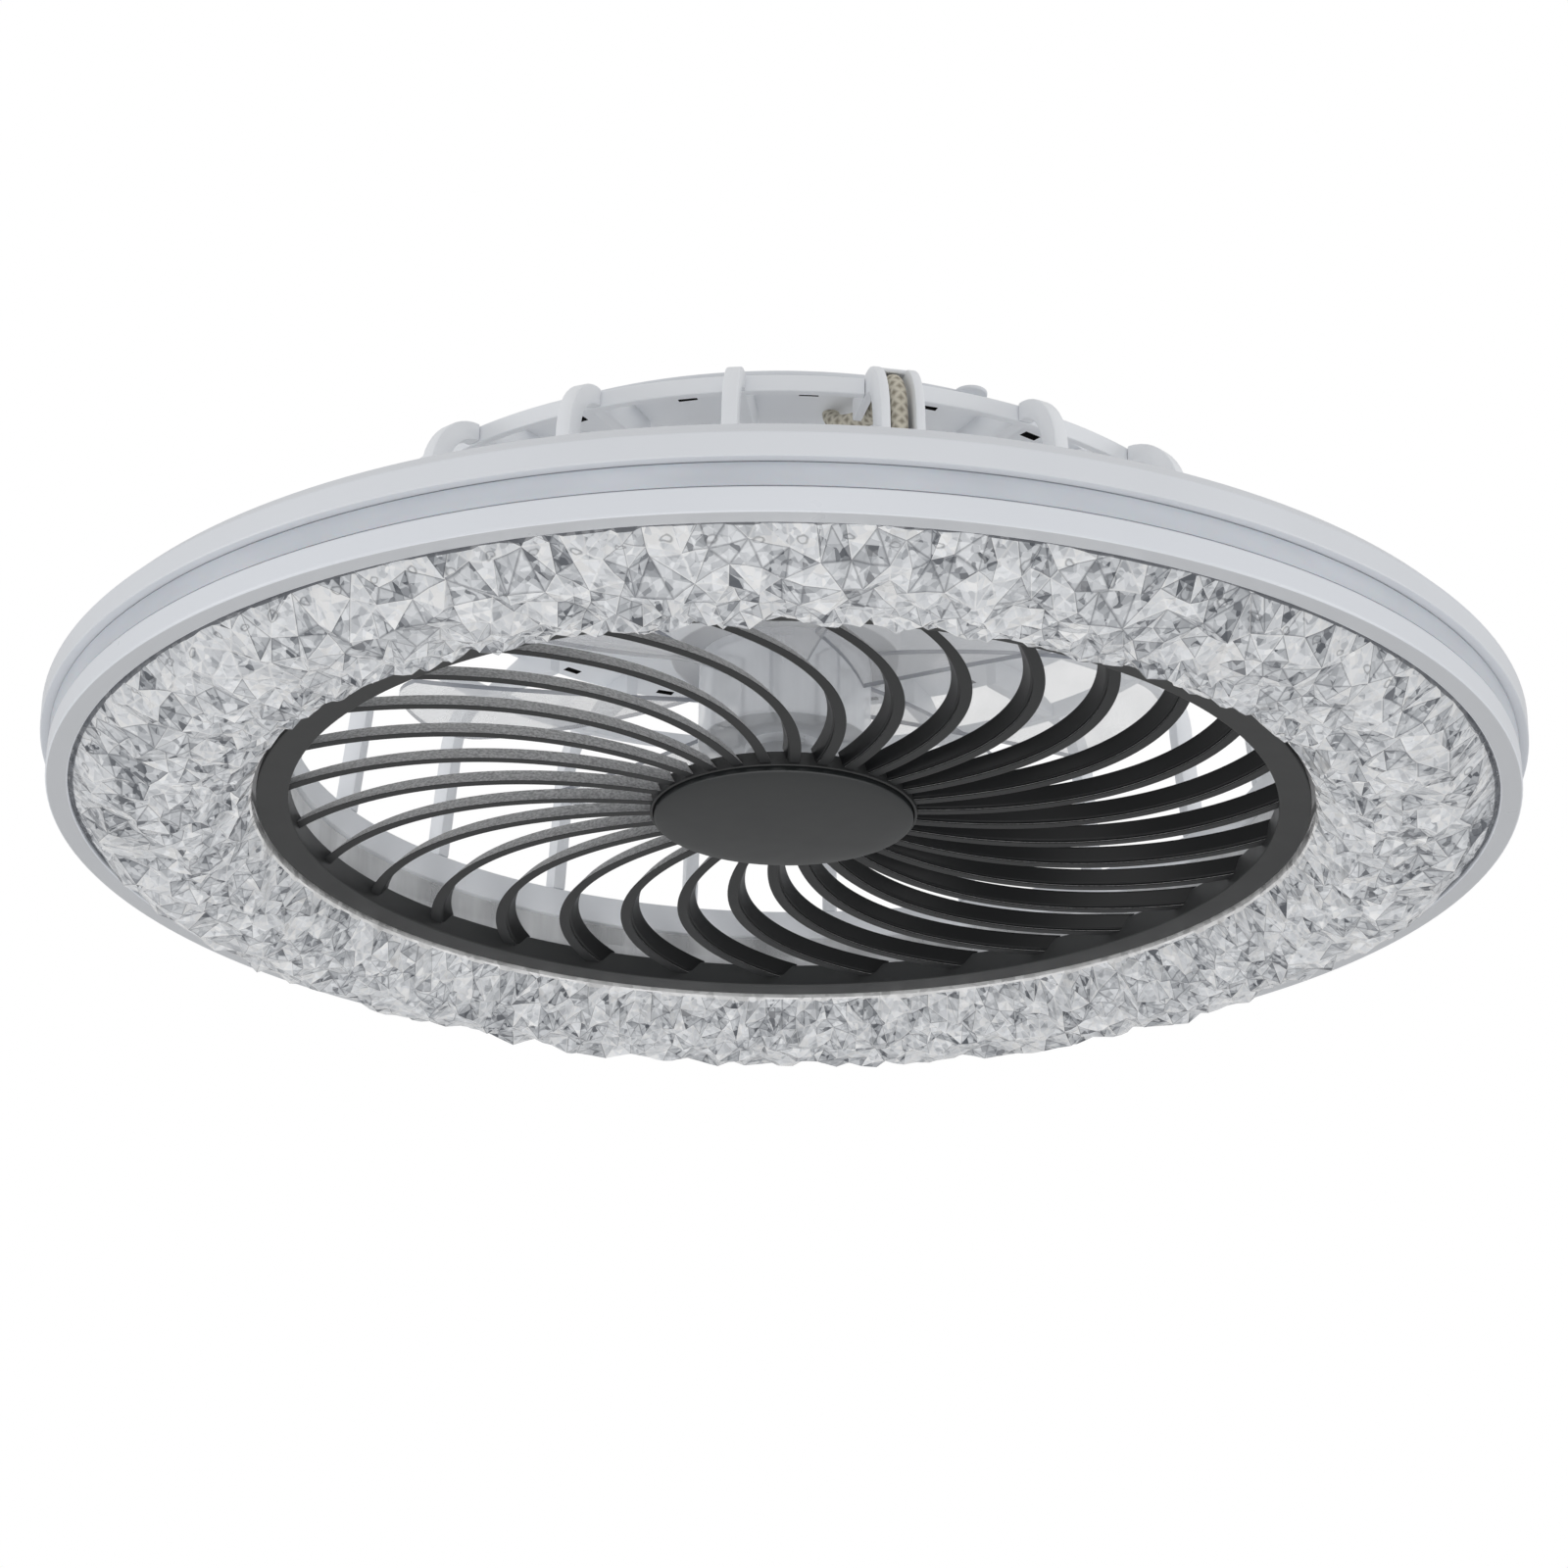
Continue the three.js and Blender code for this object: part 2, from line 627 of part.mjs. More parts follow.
// A vane is a strip along its swept path, leaning back as it rises; it runs past the skirt and is cut there
function vane() {
  const vertices = [];
  const triangles = [];
  for (let i = 0; i <= VANE_STEPS; i += 1) {
    const share = VANE_END_share * i / VANE_STEPS;
    const place = vanePoint(share);
    const along = vanePoint(share + STEP_share).sub(vanePoint(Math.max(0, share - STEP_share))).normalize();
    const across = new THREE.Vector2(-along.y, along.x);
    const bottom = FLANGE_HEIGHT + VANE_LIFT + VANE_ARCH * (1 - share) ** 2;
    const lean = VANE_LEAN + VANE_TWIST * share;
    const corners = [
      [-VANE_FOOT / 2, bottom],
      [VANE_FOOT / 2, bottom],
      [VANE_CREST / 2 - lean, bottom + VANE_RISE],
      [-VANE_CREST / 2 - lean, bottom + VANE_RISE],
    ];
    for (const [offset, height] of corners) {
      vertices.push(place.x + across.x * offset, place.y + across.y * offset, height);
    }
  }
  for (let i = 0; i < VANE_STEPS; i += 1) {
    for (let k = 0; k < 4; k += 1) {
      const [a, b] = [4 * i + k, 4 * i + (k + 1) % 4];
      triangles.push(a, b, b + 4, a, b + 4, a + 4);
    }
  }
  const last = 4 * VANE_STEPS;
  triangles.push(0, 2, 1, 0, 3, 2, last, last + 1, last + 2, last, last + 2, last + 3);
  const geometry = new THREE.BufferGeometry();
  geometry.setAttribute('position', new THREE.Float32BufferAttribute(vertices, 3));
  geometry.setIndex(triangles);
  return geometry;
}

function grille() {
  const rim = turned([
    [flangeInner, FLANGE_HEIGHT],
    [grilleRadius, FLANGE_HEIGHT],
    [grilleRadius, flangeTop],
    [skirtOuter, flangeTop],
    [skirtOuter, FLANGE_HEIGHT + SKIRT_HEIGHT],
    [flangeInner, FLANGE_HEIGHT + SKIRT_HEIGHT],
  ]);
  const capRecess = CAP_THICKNESS + SEAT_GAP;
  const collar = turned([
    [0, collarBottom + capRecess],
    [collarInner, collarBottom + capRecess],
    [collarInner, collarBottom],
    [COLLAR_RADIUS, collarBottom],
    [COLLAR_RADIUS, collarTop],
    [collarInner, collarTop],
    [collarInner, collarBottom + capRecess + COLLAR_FLOOR],
    [0, collarBottom + capRecess + COLLAR_FLOOR],
  ], DRUM_STEPS);
  const trimTop = collarTop + VANE_RISE;
  const beyond = ring(skirtMiddle, skirtMiddle + LAMP_WIDTH, FLANGE_HEIGHT, trimTop, FRAME_STEPS);
  const vanes = aroundAxis(cut(vane(), [beyond]), VANE_COUNT, 0, VANE_PHASE);
  return joined([rim, collar, ...vanes]);
}

function hubCap() {
  const radius = collarInner - SEAT_GAP;
  const top = collarBottom + CAP_THICKNESS;
  const dome = arc([0, collarBottom], [radius, CAP_DOME], -1, 0, 4);
  return turned([...dome, [radius, top], [0, top]], DRUM_STEPS);
}

const magnetInner = ductOuter + SEAT_GAP;

addPiece('grille', grille(), 'black');
addPiece('grille_hub_cap', hubCap(), 'cap');
addPiece('grille_magnet_strip', ring(
  magnetInner, magnetInner + MAGNET_WIDTH, flangeTop + SEAT_GAP, LEDGE_HEIGHT - SEAT_GAP, FRAME_STEPS,
), 'magnet');

// Inner wall and the cage's lower ring
function cageLowerRing() {
  const ringInner = ductOuter - CAGE_RING_WIDTH;
  const flangeOuter = ductOuter + CAGE_FLANGE_WIDTH;
  const body = turned([
    [ringInner, cageRingBottom],
    [ductOuter, cageRingBottom],
    [ductOuter, cageFlangeBottom],
    [flangeOuter, cageFlangeBottom],
    [flangeOuter, cageRingTop],
    [ringInner, cageRingTop],
  ], FRAME_STEPS);
  return cut(body, lampHoles(cageFlangeBottom, cageRingTop));
}

addPiece('inner_wall', ring(
  ductRadius, ductOuter, innerWallBottom, innerWallBottom + INNER_WALL_HEIGHT, FRAME_STEPS,
), 'clear');
addPiece('cage_lower_ring', cageLowerRing(), 'white');

for (let i = 0; i < LAMP_SCREW_COUNT; i += 1) {
  const lampScrew = atBearing(screw(cageRingTop + SEAT_GAP, leadEnd), 0, lampScrewRadius);
  addPiece(`lamp_screw_${i + 1}`, lampScrew, 'steel', lampScrewBearing + i * 2 * Math.PI / LAMP_SCREW_COUNT);
}

// Struts: fins that rise from the lower ring and, above a shoulder, curve in to the hoop
const hoopFace = hoopRadius + SEAT_GAP;

function strut() {
  const centre = [hoopFace, STRUT_SHOULDER];
  const outerRadii = [strutRadius - hoopFace, hoopTop + STRUT_CROWN - STRUT_SHOULDER];
  const innerRadii = [strutRadius - STRUT_DEPTH - hoopFace, HOOP_BOTTOM - STRUT_SHOULDER];
  const outline = [
    [strutFootRadius, strutFoot],
    ...arc(centre, outerRadii, 0, 1),
    ...arc(centre, innerRadii, 1, 0),
    [strutFootRadius - STRUT_DEPTH, strutFoot],
  ];
  return radialPlate(outline, STRUT_WIDTH);
}

for (let i = 1; i < STRUT_COUNT; i += 1) {
  const name = `cage_strut_${String(i).padStart(2, '0')}`;
  addPiece(name, strut(), 'white', FIRST_BEARING + i * STRUT_PITCH);
}

// Wiring conduit: two cheeks, a thin inner web and a bar over the top
const conduitEnd = panRadius + SEAT_GAP;

function wiringConduit() {
  const centre = [hoopFace, STRUT_SHOULDER];
  const inner = strutRadius - CONDUIT_DEPTH;
  const footInner = strutFootRadius - STRUT_DEPTH;
  const outerRadii = [strutRadius - hoopFace, conduitTop - STRUT_SHOULDER];
  const innerRadii = [inner - hoopFace, HOOP_BOTTOM - STRUT_SHOULDER];
  const cheek = [
    [strutFootRadius, strutFoot],
    ...arc(centre, outerRadii, 0, 1),
    [conduitEnd, conduitTop],
    [conduitEnd, HOOP_BOTTOM],
    ...arc(centre, innerRadii, 1, 0),
    [footInner, strutFoot],
  ];
  const web = [
    [footInner + CONDUIT_WEB, strutFoot],
    ...arc(centre, [innerRadii[0] + CONDUIT_WEB, innerRadii[1] + CONDUIT_WEB], 0, 0.4, 2),
    ...arc(centre, innerRadii, 0.4, 0, 2),
    [footInner, strutFoot],
  ];
  const barRadii = [outerRadii[0] - CONDUIT_BAR, outerRadii[1] - CONDUIT_BAR];
  const bar = [
    ...arc(centre, outerRadii, 0.8, 1, 2),
    [conduitEnd, conduitTop],
    [conduitEnd, conduitTop - CONDUIT_BAR],
    ...arc(centre, barRadii, 1, 0.8, 2),
  ];
  const cheekShift = (CONDUIT_WIDTH - CONDUIT_CHEEK) / 2;
  const span = CONDUIT_WIDTH - CONDUIT_CHEEK;
  return joined([
    radialPlate(cheek, CONDUIT_CHEEK, cheekShift),
    radialPlate(cheek, CONDUIT_CHEEK, -cheekShift),
    radialPlate(web, span),
    radialPlate(bar, span),
  ]);
}

addPiece('wiring_conduit', wiringConduit(), 'white', FIRST_BEARING);

// Lamp lead in its braided sleeve, from the pan's floor through the conduit to the lamp ring.
// Each point is [sideways, reach beyond the duct, height] in the conduit's own plane.
const sleeveRoute = [
  [0, leadRadius - ductOuter, leadEnd],
  [0, leadRadius - ductOuter, 36],
  [0, 4.4, 45],
  [0, -0.4, 56],
  [0, -3.8, 66],
  [0, -6, 76],
  [0, -6.8, 84],
  [0, -8.6, 92],
  [0, -13.4, 98.6],
  [0, -19.6, 101.6],
  [0, -26, 102.3],
  [0, -33, 102.3],
  [0, -40.5, 102.4],
  [-1, -47.5, 102.8],
  [-4, -54.5, 104.6],
  [-8.2, -61, 106.4],
  [-LEAD_HOLE_SIDE, -65.6, 110.4],
  [-LEAD_HOLE_SIDE, -LEAD_HOLE_INSET, 115],
];
const sleeveHole = [-LEAD_HOLE_SIDE, ductOuter - LEAD_HOLE_INSET];

function lampLead() {
  const points = sleeveRoute.map(([side, reach, height]) => (
    new THREE.Vector3(side, -ductOuter - reach, height)
  ));
  const circle = new THREE.Shape();
  for (let i = 0; i < 8; i += 1) {
    const angle = i * Math.PI / 4;
    const corner = new THREE.Vector2(SLEEVE_RADIUS * Math.cos(angle), SLEEVE_RADIUS * Math.sin(angle));
    if (i === 0) circle.moveTo(corner.x, corner.y);
    else circle.lineTo(corner.x, corner.y);
  }
  return welded(new THREE.ExtrudeGeometry(circle, {
    steps: SLEEVE_STEPS,
    extrudePath: new THREE.CatmullRomCurve3(points),
    bevelEnabled: false,
  }));
}

addPiece('lamp_lead', lampLead(), 'sleeve', FIRST_BEARING);

// Pan: round floor and rim, with the hoop round it on ribs; the hoop is open where the conduit passes
function rib() {
  const hoopMiddle = hoopInner + HOOP_WALL / 2;
  return radialPlate([
    [hoopMiddle, HOOP_BOTTOM + SEAT_GAP],
    [hoopMiddle, HOOP_BOTTOM + RIB_DEPTH],
    [panRadius - PAN_WALL, PAN_BOTTOM + PAN_FLOOR / 2],
    [panRadius - RIB_REACH, PAN_BOTTOM + PAN_FLOOR / 2],
    [panRadius - RIB_REACH, HOOP_BOTTOM + RIB_RISE],
  ], RIB_WIDTH);
}

function pan() {
  const plate = turned([
    [0, PAN_BOTTOM],
    [panRadius, PAN_BOTTOM],
    [panRadius, panTop],
    [panRadius - PAN_WALL, panTop],
    [panRadius - PAN_WALL, panFloorTop],
    [0, panFloorTop],
  ], FRAME_STEPS);
  const hoop = ring(hoopInner, hoopRadius, HOOP_BOTTOM, hoopTop, FRAME_STEPS);
  const ribs = [];
  for (let i = 1; i < STRUT_COUNT; i += 1) {
    ribs.push(atBearing(rib(), FIRST_BEARING + i * STRUT_PITCH));
  }
  const slot = block(SLOT_LENGTH, SLOT_WIDTH, PAN_BOTTOM - OVERRUN, panFloorTop + OVERRUN);
  const slots = [];
  for (let i = 0; i < SLOTS_PER_SIDE; i += 1) {
    const bearing = SLOT_BEARING + (i - (SLOTS_PER_SIDE - 1) / 2) * SLOT_PITCH;
    slots.push(...aroundAxis(slot, 2, panRadius - SLOT_INSET, bearing));
  }
  const notchWidth = CONDUIT_WIDTH + 2 * SEAT_GAP;
  const notch = block(notchWidth, 2 * HOOP_WALL + OVERRUN, HOOP_BOTTOM - OVERRUN, hoopTop + OVERRUN);
  const leadHole = post(SLEEVE_RADIUS + 2 * SEAT_GAP, PAN_BOTTOM - OVERRUN, panFloorTop + OVERRUN);
  const shaftHole = post(SHAFT_RADIUS + SEAT_GAP, PAN_BOTTOM - OVERRUN, panFloorTop + OVERRUN);
  return cut(joined([plate, hoop, ...ribs]), [
    ...slots,
    atBearing(notch, FIRST_BEARING, hoopInner + HOOP_WALL / 2),
    atBearing(leadHole.translate(sleeveHole[0], 0, 0), FIRST_BEARING, sleeveHole[1]),
    shaftHole,
  ]);
}

addPiece('pan', pan(), 'white');

// Canopy over the electrics, with a flat lid round it and three screw ears
const earRadius = panRadius + EAR_REACH;

function canopy() {
  const lid = turned([
    [CANOPY_RADIUS - CANOPY_WALL, lidBottom],
    [panRadius, lidBottom],
    [panRadius, lidTop],
    [CANOPY_RADIUS, lidTop],
    [CANOPY_RADIUS, canopyTop],
    [CANOPY_RADIUS - CANOPY_WALL, canopyTop],
  ], FRAME_STEPS);
  const ear = post(EAR_RADIUS, lidBottom, lidTop);
  return joined([lid, ...aroundAxis(ear, EAR_COUNT, earRadius, EAR_BEARING)]);
}

function canopySideScrew() {
  const seat = CANOPY_RADIUS + SEAT_GAP;
  const tip = plateRadius - TAB_THICKNESS - SEAT_GAP;
  const height = plateBottom - TAB_HEIGHT / 2;
  return screw(seat, tip).rotateX(Math.PI / 2).translate(0, 0, height);
}

function canopySideHole() {
  const inside = plateRadius - TAB_THICKNESS - OVERRUN;
  const hole = post(SCREW_RADIUS + HOLE_CLEARANCE, inside, CANOPY_RADIUS + OVERRUN);
  return hole.rotateX(Math.PI / 2).translate(0, 0, plateBottom - TAB_HEIGHT / 2);
}

addPiece('canopy', cut(canopy(), aroundAxis(canopySideHole(), CANOPY_SCREW_COUNT, 0)), 'white');
for (let i = 0; i < CANOPY_SCREW_COUNT; i += 1) {
  addPiece(`canopy_screw_${i + 1}`, canopySideScrew(), 'steel', i * 2 * Math.PI / CANOPY_SCREW_COUNT);
}

// Ceiling plate: steel disc with two bent tabs, two anchor slots and a wire hole
function anchorSlot() {
  const half = (ANCHOR_SLOT_LENGTH - ANCHOR_SLOT_WIDTH) / 2;
  const radius = ANCHOR_SLOT_WIDTH / 2;
  const outline = [
    ...arc([half, 0], [radius, radius], -1, 1),
    ...arc([-half, 0], [radius, radius], 1, 3),
  ];
  const shape = new THREE.Shape(outline.map(([x, y]) => new THREE.Vector2(x, y)));
  const depth = PLATE_THICKNESS + 2 * OVERRUN;
  return new THREE.ExtrudeGeometry(shape, { depth, bevelEnabled: false })
    .translate(0, 0, plateBottom - OVERRUN);
}

function ceilingPlate() {
  const disc = post(plateRadius, plateBottom, LIP_DROP, FRAME_STEPS);
  const tab = block(TAB_WIDTH, TAB_THICKNESS, plateBottom - TAB_HEIGHT, plateBottom + PLATE_THICKNESS / 2);
  const tabs = aroundAxis(tab, CANOPY_SCREW_COUNT, plateRadius - TAB_THICKNESS);
  const wireHole = post(WIRE_HOLE_RADIUS, plateBottom - OVERRUN, LIP_DROP + OVERRUN)
    .translate(0, -WIRE_HOLE_OFFSET, 0);
  return cut(joined([disc, ...tabs]), [
    anchorSlot().translate(ANCHOR_SPACING / 2, 0, 0),
    anchorSlot().translate(-ANCHOR_SPACING / 2, 0, 0),
    wireHole,
    ...aroundAxis(canopySideHole(), CANOPY_SCREW_COUNT, 0),
  ]);
}

addPiece('ceiling_plate', ceilingPlate(), 'steel');

// Electrics on the pan's floor
addPiece('controller_box', block(
  BOX_LENGTH, BOX_WIDTH, panFloorTop + SEAT_GAP, panFloorTop + SEAT_GAP + BOX_HEIGHT,
).translate(0, BOX_OFFSET, 0), 'box');
addPiece('terminal_block', block(
  TERMINAL_LENGTH, TERMINAL_WIDTH, panFloorTop + SEAT_GAP, panFloorTop + SEAT_GAP + TERMINAL_HEIGHT,
).translate(0, -TERMINAL_OFFSET, 0), 'box');

// Motor: fixed base, shaft and stator
function motorBase() {
  return turned([
    [SHAFT_RADIUS + SEAT_GAP, coreBottom],
    [tubeRadius, coreBottom],
    [tubeRadius, baseBottom],
    [BASE_RADIUS, baseBottom],
    [BASE_RADIUS, baseTop],
    [SHAFT_RADIUS + SEAT_GAP, baseTop],
  ], DRUM_STEPS);
}

function statorCore() {
  const shape = new THREE.Shape();
  const pitch = 2 * Math.PI / CORE_TEETH;
  for (let i = 0; i < CORE_TEETH; i += 1) {
    const corners = [
      [coreRadius, i - TOOTH_share / 2],
      [coreRadius, i + TOOTH_share / 2],
      [coreRadius - TOOTH_DEPTH, i + TOOTH_share / 2],
      [coreRadius - TOOTH_DEPTH, i + 1 - TOOTH_share / 2],
    ];
    for (const [radius, turn] of corners) {
      const [x, y] = [radius * Math.cos(turn * pitch), radius * Math.sin(turn * pitch)];
      if (shape.curves.length === 0 && i === 0 && turn < 0) shape.moveTo(x, y);
      else shape.lineTo(x, y);
    }
  }
  const bore = new THREE.Path();
  bore.absarc(0, 0, tubeRadius + SEAT_GAP, 0, 2 * Math.PI);
  shape.holes.push(bore);
  return welded(new THREE.ExtrudeGeometry(shape, { depth: CORE_HEIGHT, bevelEnabled: false })
    .translate(0, 0, coreBottom));
}

// Coils as one body: end turns above and below the core, joined through the slots between its teeth
function windings() {
  const inner = coreRadius - TOOTH_DEPTH + WINDING_MARGIN;
  const outer = inner + WINDING_DEPTH;
  const bottom = coreBottom - SEAT_GAP - WINDING_HEIGHT;
  const top = coreTop + SEAT_GAP + WINDING_HEIGHT;
  const coil = block(COIL_WIDTH, WINDING_DEPTH - WINDING_MARGIN, bottom + SEAT_GAP, top - SEAT_GAP);
  return joined([
    ring(inner, outer, bottom, bottom + WINDING_HEIGHT, DRUM_STEPS),
    ring(inner, outer, top - WINDING_HEIGHT, top, DRUM_STEPS),
    ...aroundAxis(coil, CORE_TEETH, (inner + outer) / 2, Math.PI / CORE_TEETH),
  ]);
}

const motorNutBottom = panFloorTop + SEAT_GAP;
const motorNutTop = motorNutBottom + MOTOR_NUT_HEIGHT;

function motorNut() {
  const hexagon = post(MOTOR_NUT_RADIUS, motorNutBottom, motorNutTop, 6);
  return cut(hexagon, [post(SHAFT_RADIUS + SEAT_GAP, motorNutBottom - OVERRUN, motorNutTop + OVERRUN)]);
}

const lowerSeatBottom = BOSS_BOTTOM + STUB_HEIGHT + SEAT_GAP;

addPiece('motor_base', motorBase(), 'steel');
addPiece('motor_nut', motorNut(), 'steel');
addPiece('stator_core', statorCore(), 'steel');
addPiece('stator_windings', windings(), 'copper');
addPiece('motor_shaft', post(SHAFT_RADIUS, lowerSeatBottom, motorNutTop + SHAFT_OVERRUN), 'steel');

// Rotor: bearings, can, magnets, clear hub and blades
const lowerSeatTop = lowerSeatBottom + BEARING_HEIGHT + SEAT_GAP;
const upperSeatBottom = canFloorTop - BEARING_HEIGHT;

function bearing(bottom) {
  return ring(SHAFT_RADIUS + RUNNING_GAP, BEARING_RADIUS, bottom, bottom + BEARING_HEIGHT, DRUM_STEPS);
}

function rotorCan() {
  return turned([
    [seatRadius, BOSS_BOTTOM],
    [BOSS_RADIUS, BOSS_BOTTOM],
    [BOSS_RADIUS, CAN_BOTTOM],
    [CAN_RADIUS, CAN_BOTTOM],
    [CAN_RADIUS, canTop],
    [canInner, canTop],
    [canInner, canFloorTop],
    [seatRadius, canFloorTop],
    [seatRadius, upperSeatBottom],
    [SHOULDER_RADIUS, upperSeatBottom],
    [SHOULDER_RADIUS, lowerSeatTop],
    [seatRadius, lowerSeatTop],
  ], DRUM_STEPS);
}

addPiece('upper_bearing', bearing(upperSeatBottom + SEAT_GAP), 'steel');
addPiece('lower_bearing', bearing(lowerSeatBottom), 'steel');
addPiece('rotor_can', rotorCan(), 'motor');
addPiece('rotor_magnets', ring(
  magnetRingOuter - MAGNET_RING_WALL, magnetRingOuter, canFloorTop + SEAT_GAP, coreTop, DRUM_STEPS,
), 'magnet');

const fanHubTop = CAN_BOTTOM - SEAT_GAP;

function fanHub() {
  const bore = BOSS_RADIUS + SEAT_GAP;
  return turned([
    [STUB_RADIUS + SEAT_GAP, FAN_HUB_BOTTOM],
    [FAN_HUB_RADIUS, FAN_HUB_BOTTOM],
    [FAN_HUB_RADIUS, fanHubTop],
    [bore, fanHubTop],
    [bore, fanHubTop - FAN_HUB_WALL],
    [FAN_HUB_RADIUS - FAN_HUB_WALL, fanHubTop - FAN_HUB_WALL],
    [FAN_HUB_RADIUS - FAN_HUB_WALL, FAN_HUB_BOTTOM + FAN_HUB_WALL],
    [STUB_RADIUS + SEAT_GAP, FAN_HUB_BOTTOM + FAN_HUB_WALL],
  ], DRUM_STEPS);
}

// A point of the blade's middle surface: along is 0 at the root and 1 at the tip, across is -1 to 1
function bladePoint(along, across) {
  const root = FAN_HUB_RADIUS + SEAT_GAP;
  const rounding = along > 0.999 ? CORNER_share * Math.abs(across) ** 4 : 0;
  const radius = root + (fanRadius - root) * (along - rounding / BLADE_ROWS);
  const half = BLADE_ROOT_HALF + (BLADE_TIP_HALF - BLADE_ROOT_HALF) * along;
  const bearing = BLADE_SWEEP * along + half * across;
  const height = BLADE_HEIGHT - BLADE_PITCH_RISE / 2 * across * (1 - along / 2);
  return [radius * Math.sin(bearing), -radius * Math.cos(bearing), height];
}

function blade() {
  const vertices = [];
  const triangles = [];
  for (const side of [-1, 1]) {
    for (let i = 0; i <= BLADE_ROWS; i += 1) {
      for (let j = 0; j <= BLADE_COLUMNS; j += 1) {
        const [x, y, z] = bladePoint(i / BLADE_ROWS, 2 * j / BLADE_COLUMNS - 1);
        vertices.push(x, y, z + side * BLADE_THICKNESS / 2);
      }
    }
  }
  const last = BLADE_COLUMNS;
  const rowLength = BLADE_COLUMNS + 1;
  const sheet = (BLADE_ROWS + 1) * rowLength;
  const id = (side, i, j) => side * sheet + i * rowLength + j;
  function quad(a, b, c, d) {
    triangles.push(a, b, c, a, c, d);
  }
  for (let i = 0; i < BLADE_ROWS; i += 1) {
    for (let j = 0; j < BLADE_COLUMNS; j += 1) {
      quad(id(1, i, j), id(1, i + 1, j), id(1, i + 1, j + 1), id(1, i, j + 1));
      quad(id(0, i, j), id(0, i, j + 1), id(0, i + 1, j + 1), id(0, i + 1, j));
    }
    quad(id(0, i, 0), id(0, i + 1, 0), id(1, i + 1, 0), id(1, i, 0));
    quad(id(0, i, last), id(1, i, last), id(1, i + 1, last), id(0, i + 1, last));
  }
  for (let j = 0; j < BLADE_COLUMNS; j += 1) {
    quad(id(0, 0, j), id(1, 0, j), id(1, 0, j + 1), id(0, 0, j + 1));
    quad(id(0, BLADE_ROWS, j), id(0, BLADE_ROWS, j + 1), id(1, BLADE_ROWS, j + 1), id(1, BLADE_ROWS, j));
  }
  const geometry = new THREE.BufferGeometry();
  geometry.setAttribute('position', new THREE.Float32BufferAttribute(vertices, 3));
  geometry.setIndex(triangles);
  return geometry;
}

function fanNut() {
  const top = FAN_HUB_BOTTOM - SEAT_GAP;
  return turned([
    [0, top - NUT_HEIGHT],
    [NUT_RADIUS, top - NUT_HEIGHT],
    [NUT_RADIUS, top],
    [STUB_RADIUS, top],
    [STUB_RADIUS, BOSS_BOTTOM + STUB_HEIGHT],
    [0, BOSS_BOTTOM + STUB_HEIGHT],
  ], SMALL_STEPS);
}

addPiece('fan_hub', fanHub(), 'clear');
for (let i = 0; i < BLADE_COUNT; i += 1) {
  addPiece(`blade_${i + 1}`, blade(), 'clear', BLADE_PHASE + i * 2 * Math.PI / BLADE_COUNT);
}
addPiece('fan_nut', fanNut(), 'clear');

export default fan;
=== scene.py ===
# %% [markdown]
# # An enclosed ceiling fan, dressed in Blender
#
# A flat fan hangs under a ceiling inside a ring lamp. From below one sees the lamp's white bands, a ring
# of clear plastic crystals, a black grille of swept vanes and, through it, a clear fan in a white cage.
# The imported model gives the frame: its bodies, its nodes and its sizes. This file keeps that frame and
# gives each part that shows a finer surface and a material of its own.

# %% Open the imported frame
import json
import math
import random

import bmesh
import bpy
from mathutils import Matrix, Vector
from mathutils.geometry import delaunay_2d_cdt


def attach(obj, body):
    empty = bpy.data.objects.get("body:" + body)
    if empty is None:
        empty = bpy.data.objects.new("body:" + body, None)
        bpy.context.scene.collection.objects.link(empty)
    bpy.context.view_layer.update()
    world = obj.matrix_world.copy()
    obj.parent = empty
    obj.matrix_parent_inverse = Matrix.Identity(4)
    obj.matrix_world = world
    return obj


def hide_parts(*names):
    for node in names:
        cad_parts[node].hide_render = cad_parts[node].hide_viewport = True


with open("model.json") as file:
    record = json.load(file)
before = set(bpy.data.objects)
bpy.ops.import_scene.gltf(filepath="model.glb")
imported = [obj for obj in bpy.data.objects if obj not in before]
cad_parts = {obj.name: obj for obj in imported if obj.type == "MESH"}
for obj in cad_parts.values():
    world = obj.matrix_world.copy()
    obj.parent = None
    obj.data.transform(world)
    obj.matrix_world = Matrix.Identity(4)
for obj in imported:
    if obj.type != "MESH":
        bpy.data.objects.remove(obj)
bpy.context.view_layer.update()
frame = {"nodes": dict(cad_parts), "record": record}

# %% [markdown]
# ## Sizes
#
# The plan is in millimetres. Heights are counted up from the lip under the lamp ring, because that is
# what one can measure from below, and bearings are counted from the near side (-Y) towards +X. A few
# functions turn such points into the frame's metres, so that no other line has to know about it.

# %% Sizes of the whole fan
LAMP_RADIUS = 275.0
LIP_DROP = 138.0
SEAT_GAP = 0.3
MM = 0.001
ROUND_STEPS = 216
DRUM_STEPS = 96
FULL_TURN = math.tau


def plan_spot(radius, bearing):
    """A point of the plan in millimetres, from a radius and a bearing in radians."""
    return Vector((radius * math.sin(bearing), -radius * math.cos(bearing)))


def raised(point, height):
    """A point of the plan and its height above the lip, as a point of the frame in metres."""
    return Vector((*point, height - LIP_DROP)) * MM


def spot(radius, bearing, height):
    return raised(plan_spot(radius, bearing), height)


print("lip at", spot(LAMP_RADIUS, 0, 0))

# %% [markdown]
# ## Camera
#
# The photograph was taken from below and in front, with a long lens. The camera's place was found by
# fitting the lamp's round edges, so the ovals in the picture have the right width and height. A camera
# looks along its own -Z with +Y up, and the three directions are written as the columns of its matrix.

# %% Place the camera
CAMERA_BACK = 1.37921
CAMERA_DROP = 0.6756
CAMERA_PITCH = 0.3836
CAMERA_ROLL = 0.0099
LENS_MM = 90.0
SENSOR_MM = 36.0

